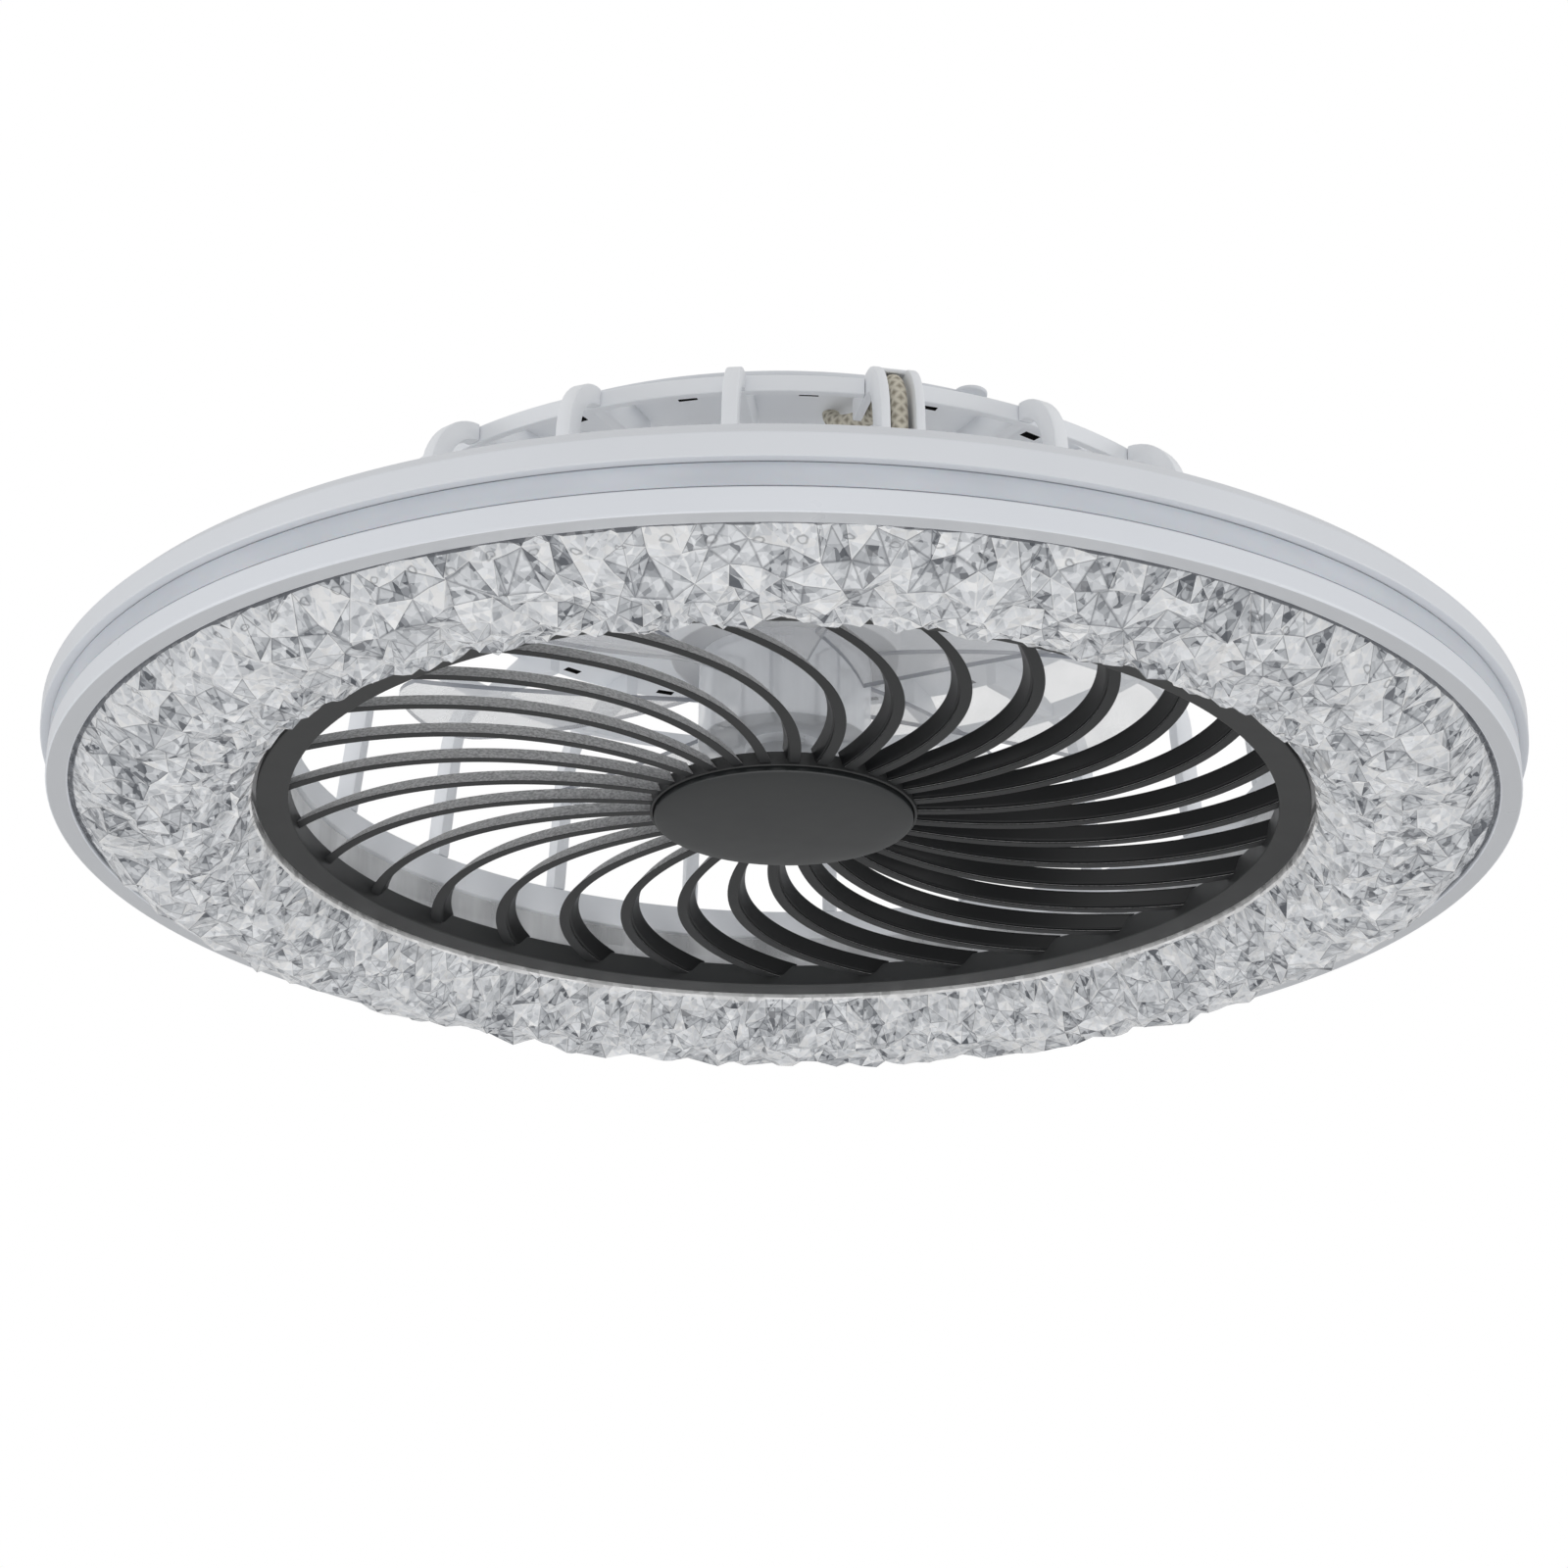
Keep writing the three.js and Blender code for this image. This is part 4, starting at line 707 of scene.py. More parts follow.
def turned(outline, steps=ROUND_STEPS, radius=0.4, start=0.0, sweep=None):
    """Vertices and faces of an outline swept round the axis, all the way or through an angle."""
    columns = steps + 1 if sweep else steps
    vertices, rings = [], []
    for point in outwards(rounded(outline, radius)):
        first = len(vertices)
        if point.x < TINY:
            rings.append([first] * columns)
            vertices.append(spot(0, 0, point.y))
            continue
        rings.append(range(first, first + columns))
        vertices.extend(
            spot(point.x, start + (sweep or FULL_TURN) * i / steps, point.y) for i in range(columns))
    faces = []
    for upper, lower in zip(rings, rings[1:] + rings[:1]):
        for i in range(steps):
            j = (i + 1) % columns
            corners = list(dict.fromkeys((upper[i], upper[j], lower[j], lower[i])))
            if len(corners) > 2:
                faces.append(corners)
    if sweep:
        faces += [[ring[0] for ring in rings], [ring[-1] for ring in rings][::-1]]
    return vertices, faces


def plate(outline, width, shift=0.0):
    """Vertices and faces of an outline in the radial plane at bearing 0, with its width across."""
    points = outwards(outline)
    count = len(points)
    vertices = [raised((shift + side * width / 2, -p.x), p.y) for side in (-1, 1) for p in points]
    faces = [list(range(count)), list(range(count, 2 * count))[::-1]]
    for i in range(count):
        j = (i + 1) % count
        faces.append([i + count, j + count, j, i])
    return vertices, faces


def moved_to(bearing, shape, shift=Vector()):
    """A shape made at bearing 0, moved by a shift and then turned to another bearing."""
    vertices, faces = shape
    turn = Matrix.Rotation(bearing, 3, "Z")
    return [turn @ (vertex + shift) for vertex in vertices], faces


def merged(*shapes):
    """Several (vertices, faces) shapes as one."""
    vertices, faces = [], []
    for some_vertices, some_faces in shapes:
        start = len(vertices)
        vertices += some_vertices
        faces += [[i + start for i in face] for face in some_faces]
    return vertices, faces


def bevelled(piece, width, segments=2):
    """Rounds a piece's sharp edges for good."""
    bevel = piece.modifiers.new("edges", "BEVEL")
    bevel.width = width * MM
    bevel.segments = segments
    bevel.limit_method = "ANGLE"
    bevel.angle_limit = math.radians(BEVEL_DEGREES)
    plain_copy(piece)
    soften(piece.data, SMOOTH_DEGREES)


print("a turned square has", len(turned(section(5.0, 15.0, 0.0, 10.0))[1]), "faces")

# %% [markdown]
# ## Copies round the axis
#
# The fan repeats many parts round one axis: 30 vanes, 20 struts, the pan's ribs, seven blades.
# Geometry Nodes do that: points, one for each copy, and an instance of the incoming shape turned by
# its own bearing. The tree's inputs are the count, the step and the first bearing, so one tree serves
# every part. Each tree of this file ends in Realize Instances and Set Material.


# %% A Geometry Nodes tree for copies round the axis
class Rule:
    """A Geometry Nodes tree with named inputs, whose nodes are added one call at a time."""

    def __init__(self, name, sockets):
        self.tree = bpy.data.node_groups.new(name, "GeometryNodeTree")
        face = self.tree.interface
        for label, kind in (("Geometry", "Geometry"), *sockets, ("Material", "Material")):
            face.new_socket(label, in_out="INPUT", socket_type="NodeSocket" + kind)
        face.new_socket("Geometry", in_out="OUTPUT", socket_type="NodeSocketGeometry")
        self.given = self.tree.nodes.new("NodeGroupInput").outputs

    def add(self, kind, inputs=None, **settings):
        return add_node(self.tree, kind, inputs, **settings).outputs[0]

    def ended(self, geometry):
        real = self.add("GeometryNodeRealizeInstances", {0: geometry})
        painted = self.add("GeometryNodeSetMaterial", {"Geometry": real, "Material": self.given["Material"]})
        add_node(self.tree, "NodeGroupOutput", {0: painted})
        return self.tree


def tree_of_copies():
    rule = Rule("copies_round_axis", [("Count", "Int"), ("Step", "Float"), ("First bearing", "Float")])
    given = rule.given
    bearing = rule.add("ShaderNodeMath", {
        0: rule.add("GeometryNodeInputIndex"), 1: given["Step"], 2: given["First bearing"],
    }, operation="MULTIPLY_ADD")
    return rule.ended(rule.add("GeometryNodeInstanceOnPoints", {
        "Points": rule.add("GeometryNodePoints", {"Count": given["Count"]}),
        "Instance": given["Geometry"],
        "Rotation": rule.add("ShaderNodeCombineXYZ", {"Z": bearing}),
    }))


COPIES = tree_of_copies()


def run_tree(piece, tree, **values):
    """Runs a Geometry Nodes tree on a piece with the named inputs, and keeps the result as its mesh."""
    modifier = piece.modifiers.new(tree.name, "NODES")
    modifier.node_group = tree
    for item in tree.interface.items_tree:
        key = item.name.lower().replace(" ", "_")
        if item.item_type == "SOCKET" and item.in_out == "INPUT" and key in values:
            modifier[item.identifier] = values[key]
    plain_copy(piece)


def copied(piece, count, step, first, finish):
    run_tree(piece, COPIES, count=count, step=step, first_bearing=first, material=finish.material)
    print(piece.name, "has", len(piece.data.polygons), "faces in", count, "copies")


print("copying tree has", len(COPIES.nodes), "nodes")

# %% [markdown]
# ## Lamp ring
#
# From the side the lamp shows three bands: a white shell with a chamfered top, a milky strip that
# lights the wall, and a cool white band that turns in under the crystals as a lip. All three are
# turned shapes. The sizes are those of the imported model, so the finer pieces sit on the same seats.

# %% Shell, diffuser strip and lower band
TRIM_HEIGHT, TRIM_WALL = 9.0, 2.0
LIP_WIDTH, LIP_THICKNESS = 8.2, 2.4
DIFFUSER_HEIGHT, DIFFUSER_WALL, DIFFUSER_INSET = 8.3, 2.5, 0.4
BAND_HEIGHT, BAND_OVERHANG, CHAMFER = 8.6, 3.2, 5.5
SHELL_WALL, SHELL_CLEARANCE = 2.2, 1.0
RETURN_REACH, RETURN_THICKNESS = 2.6, 1.2
DUCT_OUTER = 191.0

diffuser_bottom = TRIM_HEIGHT + SEAT_GAP
band_bottom = diffuser_bottom + DIFFUSER_HEIGHT + SEAT_GAP
band_top = band_bottom + BAND_HEIGHT
shell_top = band_top + CHAMFER
shell_under = shell_top - SHELL_WALL
shell_radius = LAMP_RADIUS + BAND_OVERHANG
shell_inner = DUCT_OUTER + SHELL_CLEARANCE
lip_inner = LAMP_RADIUS - LIP_WIDTH
return_inner = LAMP_RADIUS - RETURN_REACH
return_top = band_bottom + RETURN_THICKNESS

keep("upper_shell_smooth", *turned([
    (return_inner, band_bottom), (shell_radius, band_bottom), (shell_radius, band_top),
    (shell_radius - CHAMFER, shell_top), (shell_inner, shell_top), (shell_inner, shell_under),
    (shell_radius - SHELL_WALL - CHAMFER, shell_under), (shell_radius - SHELL_WALL, band_top),
    (shell_radius - SHELL_WALL, return_top), (return_inner, return_top),
], radius=0.5), white, slot="white_plastic", replaces=["upper_shell"])

diffuser_outer = LAMP_RADIUS - DIFFUSER_INSET
keep("side_diffuser_smooth", *turned(section(
    diffuser_outer - DIFFUSER_WALL, diffuser_outer, diffuser_bottom, diffuser_bottom + DIFFUSER_HEIGHT,
), radius=0.3), diffuser, slot="diffuser_plastic", replaces=["side_diffuser"])

keep("lower_trim_smooth", *turned([
    (lip_inner, 0.0), (LAMP_RADIUS, 0.0), (LAMP_RADIUS, TRIM_HEIGHT),
    (LAMP_RADIUS - TRIM_WALL, TRIM_HEIGHT), (LAMP_RADIUS - TRIM_WALL, LIP_THICKNESS),
    (lip_inner, LIP_THICKNESS),
], radius=0.8), trim, slot="trim_plastic", replaces=["lower_trim"])
print("lamp ring bands made, top at", shell_top)

# %% [markdown]
# ## Crystals
#
# The crystal ring is one moulding: a bulging field of flat, uneven facets with sharp ridges. First
# comes a net. Points lie in loose rows over the bulge, close together inside and far apart outside,
# and a Delaunay triangulation joins them into triangles without a visible pattern. Then a rule grows
# the field: every point moves down or up by its own random amount, and each facet is split once more
# for small splinters. The tree also stores a random tone on every face, which the crystal finish paints
# as reflections, and the three corners of each large facet, and the crystal finish reads both.

# %% The net the crystals grow on
CRYSTAL_INNER = 199.8
CRYSTAL_PLATE = 2.5
CRYSTAL_SEAT = 4.5
CRYSTAL_DROP = 19.0
CRYSTAL_RIM_DROP = 1.2
CRYSTAL_CLEARANCE = 0.8
BASE_SHARE = 0.78
NET_ROWS = (
    (203.8, 7.0), (208.8, 5.6), (213.8, 5.2), (219.0, 5.3), (224.6, 5.8), (230.8, 6.5),
    (237.8, 7.6), (245.8, 8.8), (254.6, 9.8), (261.6, 10.0))
NET_JITTER = 0.40
RIM_COLUMNS = 180
FIELD_MARGIN = 3.6
INNER_FIELD = 1.12

crystal_bottom = LIP_THICKNESS + SEAT_GAP
crystal_top = crystal_bottom + CRYSTAL_PLATE
crystal_outer = lip_inner - CRYSTAL_CLEARANCE
crystal_seat = lip_inner + CRYSTAL_SEAT


def crystal_height(radius):
    """Height of the smooth bulge at a radius."""
    side = abs(2 * (radius - CRYSTAL_INNER) / (crystal_outer - CRYSTAL_INNER) - 1)
    depth = CRYSTAL_RIM_DROP + (CRYSTAL_DROP - CRYSTAL_RIM_DROP) * max(0.0, 1 - side ** 3)
    return crystal_bottom - BASE_SHARE * depth


def circle(radius):
    return [plan_spot(radius, FULL_TURN * i / RIM_COLUMNS) for i in range(RIM_COLUMNS)]


def crystal_net():
    """A closed ring: a plate on top and triangles without a pattern over the bulge below."""
    chance = random.Random(7)
    points = circle(CRYSTAL_INNER) + circle(crystal_outer)
    for radius, pitch in NET_ROWS:
        count = round(FULL_TURN * radius / pitch)
        shift = chance.random()
        for i in range(count):
            angle = FULL_TURN * (i + shift + chance.uniform(-NET_JITTER, NET_JITTER)) / count
            reach = radius + chance.uniform(-NET_JITTER, NET_JITTER) * pitch
            points.append(plan_spot(reach, angle))
    flat, _, triangles, origins = delaunay_2d_cdt(points, [], [], 0, TINY)[:4]
    place_of = {first: place for place, group in enumerate(origins) for first in group}
    vertices = [raised(point, crystal_height(point.length)) for point in flat]
    faces = [
        list(corners) for corners in triangles
        if (sum((flat[i] for i in corners), Vector((0, 0))) / 3).length > CRYSTAL_INNER]
    plate_corners = section(CRYSTAL_INNER, crystal_seat, crystal_bottom, crystal_top)
    loops = [[place_of[i] for i in range(RIM_COLUMNS)]]
    for radius, height in (plate_corners[3], plate_corners[2], plate_corners[1]):
        loops.append(list(range(len(vertices), len(vertices) + RIM_COLUMNS)))
        vertices += [raised(point, height) for point in circle(radius)]
    loops.append([place_of[i + RIM_COLUMNS] for i in range(RIM_COLUMNS)])
    for first, second in zip(loops, loops[1:]):
        for i in range(RIM_COLUMNS):
            j = (i + 1) % RIM_COLUMNS
            faces.append([first[i], first[j], second[j], second[i]])
    return vertices, faces


def face_outwards(mesh):
    """Turns all faces of a closed mesh outwards."""
    shell = bmesh.new()
    shell.from_mesh(mesh)
    bmesh.ops.recalc_face_normals(shell, faces=shell.faces)
    shell.to_mesh(mesh)
    shell.free()


print("bulge from", round(CRYSTAL_INNER, 1), "to", round(crystal_outer, 1))


# %% A Geometry Nodes tree for the crystals
def tree_of_crystals():
    rule = Rule("crystal_field", [("Peak", "Float"), ("Valley", "Float"), ("Crinkle", "Float")])
    given = rule.given
    field = rule.add("GeometryNodeInputNamedAttribute", {"Name": "field"}, data_type="FLOAT")

    def sums(operation, *values):
        return rule.add("ShaderNodeMath", dict(enumerate(values)), operation=operation)

    def chance_of(seed):
        node = add_node(rule.tree, "FunctionNodeRandomValue", {"Seed": seed}, data_type="FLOAT")
        return [socket for socket in node.outputs if socket.enabled][0]

    def moved(geometry, low_end, high_end, seed):
        """Moves corners of the field up or down by a random amount between two values."""
        rise = sums("MULTIPLY_ADD", chance_of(seed), sums("SUBTRACT", high_end, low_end), low_end)
        offset = rule.add("ShaderNodeCombineXYZ", {"Z": sums("MULTIPLY", rise, field)})
        return rule.add("GeometryNodeSetPosition", {"Geometry": geometry, "Offset": offset})

    def stored(geometry, name, value, kind, domain):
        node = add_node(rule.tree, "GeometryNodeStoreNamedAttribute",
                        {"Geometry": geometry, "Name": name}, data_type=kind, domain=domain)
        rule.tree.links.new(value, [i for i in node.inputs if i.name == "Value" and i.enabled][0])
        return node.outputs[0]

    third = sums("MODULO", rule.add("GeometryNodeInputIndex"), 3.0)
    corner = rule.add("ShaderNodeCombineXYZ", {
        axis: sums("COMPARE", third, float(value), 0.5) for value, axis in enumerate("XYZ")})
    facets = rule.add("GeometryNodeTriangulate", {0: given["Geometry"]})
    facets = moved(facets, sums("MULTIPLY", given["Peak"], -1.0), given["Valley"], 3)
    facets = stored(facets, "facet_corner", corner, "FLOAT_VECTOR", "CORNER")
    # A random tone on each face, which the crystal finish paints as reflections.
    facets = stored(facets, "facet_tone", chance_of(5), "FLOAT", "FACE")
    small = rule.add("GeometryNodeSubdivideMesh", {"Mesh": facets, "Level": 1})
    small = rule.add("GeometryNodeTriangulate", {0: small})
    small = moved(small, sums("MULTIPLY", given["Crinkle"], -1.0), given["Crinkle"], 19)
    return rule.ended(stored(small, "splinter_tone", chance_of(7), "FLOAT", "FACE"))


CRYSTALS = tree_of_crystals()
print("crystal tree has", len(CRYSTALS.nodes), "nodes")

# %% Grow the crystals
PEAK_DROP = 3.5 * MM
VALLEY_RISE = 2.7 * MM
CRINKLE = 0.45 * MM

crystals = keep("crystal_field", *crystal_net(), crystal, body=None)
face_outwards(crystals.data)
field = crystals.data.attributes.new("field", "FLOAT", "POINT")
for corner in crystals.data.vertices:
    radius = math.hypot(corner.co.x, corner.co.y) / MM
    edge = max(0.0, min(1.0, min(radius - CRYSTAL_INNER, crystal_outer - radius) / FIELD_MARGIN))
    share = (radius - CRYSTAL_INNER) / (crystal_outer - CRYSTAL_INNER)
    below = corner.co.z < (crystal_bottom - LIP_DROP) * MM
    field.data[corner.index].value = edge * (INNER_FIELD + (1 - INNER_FIELD) * share) if below else 0.0
run_tree(crystals, CRYSTALS, peak=PEAK_DROP, valley=VALLEY_RISE, crinkle=CRINKLE, material=crystal.material)
crystals.data.shade_flat()
settle(crystals, "housing", ["crystal_ring"])
print("crystals:", len(crystals.data.polygons), "faces")

# %% [markdown]
# ## Grille
#
# The grille is one black moulding. A flat flange lies inside the crystals, a skirt rises from its
# inner edge, and 30 vanes sweep from the hub's collar to the skirt, leaning as they rise. A vane is a
# strip that follows a curved path, so it is made once, with many steps and rounded corners, and
# copied round the axis.

# %% Flange, skirt and collar
GRILLE_RADIUS = 198.0
FLANGE_HEIGHT, FLANGE_WIDTH, FLANGE_THICKNESS = 2.5, 12.0, 2.5
SKIRT_WALL, SKIRT_HEIGHT = 2.2, 9.0
COLLAR_RADIUS, COLLAR_WALL, COLLAR_LIFT, COLLAR_HEIGHT, COLLAR_FLOOR = 53.0, 3.6, 2.1, 7.0, 2.0
COLLAR_EDGE, COLLAR_TUCK = 50.6, 1.6
CAP_THICKNESS, CAP_DOME = 3.0, 1.6

flange_inner = GRILLE_RADIUS - FLANGE_WIDTH
flange_top = FLANGE_HEIGHT + FLANGE_THICKNESS
skirt_outer = flange_inner + SKIRT_WALL
collar_bottom = FLANGE_HEIGHT + COLLAR_LIFT
collar_top = collar_bottom + COLLAR_HEIGHT
collar_inner = COLLAR_RADIUS - COLLAR_WALL
cap_recess = collar_bottom + CAP_THICKNESS + SEAT_GAP

rim_shape = turned([
    (flange_inner, FLANGE_HEIGHT), (GRILLE_RADIUS, FLANGE_HEIGHT), (GRILLE_RADIUS, flange_top),
    (skirt_outer, flange_top), (skirt_outer, FLANGE_HEIGHT + SKIRT_HEIGHT),
    (flange_inner, FLANGE_HEIGHT + SKIRT_HEIGHT),
], radius=0.5)
collar_mouth = collar_bottom + COLLAR_TUCK
floor_edge = collar_inner - COLLAR_TUCK
collar_shape = turned([
    (0.0, cap_recess), (collar_inner, cap_recess), (collar_inner, collar_mouth),
    (COLLAR_EDGE, collar_mouth), (COLLAR_EDGE, collar_top), (floor_edge, collar_top),
    (floor_edge, cap_recess + COLLAR_FLOOR), (0.0, cap_recess + COLLAR_FLOOR),
], steps=DRUM_STEPS)
keep("grille_rim_and_collar", *merged(rim_shape, collar_shape), black, body="grille",
     slot="black_plastic", replaces=["grille"])

dome = arc((0.0, collar_bottom), (collar_inner - SEAT_GAP, CAP_DOME), -1, 0, 10)
keep("grille_hub_cap_smooth", *turned([
    *dome, (collar_inner - SEAT_GAP, collar_bottom + CAP_THICKNESS), (0.0, collar_bottom + CAP_THICKNESS),
], steps=DRUM_STEPS, radius=0.25), cap_black, body="grille", slot="cap_plastic",
     replaces=["grille_hub_cap"])
print("collar from", collar_bottom, "to", collar_top)

# %% Vanes
VANE_COUNT = 30
VANE_STEPS = 44
VANE_FOOT, VANE_CREST, VANE_RISE = 4.4, 2.2, 6.2
VANE_LEAN, VANE_TWIST = 3.5, 1.8
VANE_LIFT, VANE_ARCH = 3.7, 1.0
GROOVE_HEIGHT, GROOVE_DEPTH = 0.5, 0.5
VANE_PHASE = math.radians(0.9)
VANE_SWEEP = math.radians(27.4)
VANE_CURVE = 1.7
VANE_TUCK = 0.6
VANE_START = COLLAR_EDGE - VANE_TUCK
VANE_ROUNDING = 0.5
CLEAR_OF_AXIS = 100

skirt_middle = flange_inner + SKIRT_WALL / 2


def vane_point(share, offset=0.0):
    """A point of the vane's path, moved sideways by an offset."""
    def on_path(at):
        radius = VANE_START + (skirt_middle - VANE_START) * at
        bearing = VANE_SWEEP * (1 - max(at, 0.0) ** VANE_CURVE)
        return plan_spot(radius, bearing)

    along = (on_path(share + 0.01) - on_path(max(0.0, share - 0.01))).normalized()
    return on_path(share) + Vector((-along.y, along.x)) * offset


def end_share(offset):
    """The share at which a line beside the path reaches the middle of the skirt."""
    low_share, high_share = 0.8, 1.2
    for _ in range(24):
        middle = (low_share + high_share) / 2
        if vane_point(middle, offset).length < skirt_middle:
            low_share = middle
        else:
            high_share = middle
    return low_share


def vane_section():
    """Corners of the vane as (sideways, height, share of the lean): a groove runs above its foot."""
    side = VANE_FOOT / 2
    groove = 2 * GROOVE_HEIGHT
    return [
        (side, 0.0, 0.0), (-side, 0.0, 0.0), (-side, GROOVE_HEIGHT, 0.0),
        (-side + GROOVE_DEPTH, GROOVE_HEIGHT, 0.0), (-side + GROOVE_DEPTH, groove, 0.0),
        (-side, groove, groove / VANE_RISE),
        (-VANE_CREST / 2, VANE_RISE, 1.0), (VANE_CREST / 2, VANE_RISE, 1.0),
    ]


def vane_outline(share):
    """The rounded section at a share of the way, as (sideways, height) points."""
    lean = VANE_LEAN + VANE_TWIST * share
    corners = [(CLEAR_OF_AXIS + side - lean * tilt, height) for side, height, tilt in vane_section()]
    return [(point.x - CLEAR_OF_AXIS, point.y) for point in rounded(corners, VANE_ROUNDING, 2)]


def vane_shape():
    """A strip with rounded corners along the vane's path, cut where it meets the skirt."""
    ends = [end_share(side) for side, _ in vane_outline(1.0)]
    count = len(ends)
    vertices, faces = [], []
    for i in range(VANE_STEPS + 1):
        for (side, height), last in zip(vane_outline(i / VANE_STEPS), ends):
            share = last * i / VANE_STEPS
            point = vane_point(share, side)
            bottom = FLANGE_HEIGHT + VANE_LIFT + VANE_ARCH * (1 - share) ** 2
            vertices.append(raised(point, bottom + height))
    for i in range(VANE_STEPS):
        for k in range(count):
            a, b = count * i + k, count * i + (k + 1) % count
            faces.append([a, a + count, b + count, b])
    faces.append(list(range(count)))
    faces.append([count * VANE_STEPS + k for k in range(count)][::-1])
    return vertices, faces


vanes = keep("grille_vanes", *vane_shape(), vane_black, body=None)
copied(vanes, VANE_COUNT, FULL_TURN / VANE_COUNT, VANE_PHASE, vane_black)
settle(vanes, "grille")

# %% [markdown]
# ## Inner wall and cage
#
# A clear ring stands above the grille's skirt, and on it sits the cage: a white ring from which fins
# rise and curve in to a hoop under the ceiling. One fin is wider. It is the conduit in which the
# lamp's lead runs up, with two cheeks and an open slot between them.

# %% Inner wall and lower ring
INNER_WALL, INNER_WALL_HEIGHT = 2.0, 18.7
CAGE_RING_WIDTH, CAGE_RING_HEIGHT, CAGE_FLANGE_WIDTH = 3.8, 11.7, 15.0

inner_wall_bottom = flange_top + SEAT_GAP
cage_bottom = inner_wall_bottom + INNER_WALL_HEIGHT + SEAT_GAP
cage_top = cage_bottom + CAGE_RING_HEIGHT
cage_inner = DUCT_OUTER - CAGE_RING_WIDTH
cage_outer = DUCT_OUTER + CAGE_FLANGE_WIDTH
cage_flange = shell_top + SEAT_GAP

keep("inner_wall_smooth", *turned(section(
    DUCT_OUTER - INNER_WALL, DUCT_OUTER, inner_wall_bottom, inner_wall_bottom + INNER_WALL_HEIGHT,
), radius=0.3), wall_clear, slot="clear_plastic", replaces=["inner_wall"])

keep("cage_lower_ring_smooth", *turned([
    (cage_inner, cage_bottom), (DUCT_OUTER, cage_bottom), (DUCT_OUTER, cage_flange),
    (cage_outer, cage_flange), (cage_outer, cage_top), (cage_inner, cage_top),
], radius=0.5), cage_white, slot="white_plastic", replaces=["cage_lower_ring"])
print("cage ring from", cage_bottom, "to", cage_top)

# %% Struts
STRUT_COUNT = 20
STRUT_PITCH = FULL_TURN / STRUT_COUNT
FIRST_BEARING = math.radians(12)
STRUT_WIDTH, STRUT_DEPTH, STRUT_FOOT_RADIUS, STRUT_RADIUS = 5.6, 8.0, 195.6, 190.4
STRUT_SHOULDER, STRUT_CROWN = 79.0, 0.5
HOOP_RADIUS, HOOP_WALL, HOOP_BOTTOM, HOOP_HEIGHT = 167.0, 3.2, 99.0, 6.4

strut_foot = cage_top + SEAT_GAP
hoop_top = HOOP_BOTTOM + HOOP_HEIGHT
hoop_face = HOOP_RADIUS + SEAT_GAP
shoulder = (hoop_face, STRUT_SHOULDER)

strut_outline = [
    (STRUT_FOOT_RADIUS, strut_foot),
    *arc(shoulder, (STRUT_RADIUS - hoop_face, hoop_top + STRUT_CROWN - STRUT_SHOULDER), 0, 1),
    *arc(shoulder, (STRUT_RADIUS - STRUT_DEPTH - hoop_face, HOOP_BOTTOM - STRUT_SHOULDER), 1, 0),
    (STRUT_FOOT_RADIUS - STRUT_DEPTH, strut_foot),
]
struts = keep("cage_struts", *plate(strut_outline, STRUT_WIDTH), cage_white, body=None)
bevelled(struts, 0.7)
copied(struts, STRUT_COUNT - 1, STRUT_PITCH, FIRST_BEARING + STRUT_PITCH, cage_white)
settle(struts, "housing", [f"cage_strut_{i:02d}" for i in range(1, STRUT_COUNT)])

# %% Wiring conduit
CONDUIT_WIDTH, CONDUIT_CHEEK, CONDUIT_DEPTH = 15.6, 3.3, 13.0
CONDUIT_WEB, CONDUIT_BAR, CONDUIT_CROWN = 1.6, 1.6, 2.2
PAN_RADIUS = 146.0

conduit_top = hoop_top + CONDUIT_CROWN
conduit_end = PAN_RADIUS + SEAT_GAP
conduit_inner = STRUT_RADIUS - CONDUIT_DEPTH
foot_inner = STRUT_FOOT_RADIUS - STRUT_DEPTH
outer_radii = (STRUT_RADIUS - hoop_face, conduit_top - STRUT_SHOULDER)
inner_radii = (conduit_inner - hoop_face, HOOP_BOTTOM - STRUT_SHOULDER)
cheek_outline = [
    (STRUT_FOOT_RADIUS, strut_foot), *arc(shoulder, outer_radii, 0, 1), (conduit_end, conduit_top),
    (conduit_end, HOOP_BOTTOM), *arc(shoulder, inner_radii, 1, 0), (foot_inner, strut_foot),
]
web_outline = [
    (foot_inner + CONDUIT_WEB, strut_foot),
    *arc(shoulder, (inner_radii[0] + CONDUIT_WEB, inner_radii[1] + CONDUIT_WEB), 0, 0.4, 6),
    *arc(shoulder, inner_radii, 0.4, 0, 6), (foot_inner, strut_foot),
]
bar_radii = (outer_radii[0] - CONDUIT_BAR, outer_radii[1] - CONDUIT_BAR)
bar_outline = [
    *arc(shoulder, outer_radii, 0.8, 1, 5), (conduit_end, conduit_top),
    (conduit_end, conduit_top - CONDUIT_BAR), *arc(shoulder, bar_radii, 1, 0.8, 5),
]
cheek_shift = (CONDUIT_WIDTH - CONDUIT_CHEEK) / 2
span = CONDUIT_WIDTH - CONDUIT_CHEEK
conduit = keep("wiring_conduit_smooth", *merged(
    plate(cheek_outline, CONDUIT_CHEEK, cheek_shift), plate(cheek_outline, CONDUIT_CHEEK, -cheek_shift),
    plate(web_outline, span), plate(bar_outline, span),
), cage_white, body=None)
bevelled(conduit, 0.6)
copied(conduit, 1, 0.0, FIRST_BEARING, cage_white)
settle(conduit, "housing", ["wiring_conduit"])

# %% [markdown]
# ## Lamp lead
#
# The lead from the ceiling to the lamp runs in a woven sleeve, held by the conduit all the way. It is
# a tube along a smooth curve through the route's points. Its UV map runs round and along the tube, so
# the weave follows every bend.

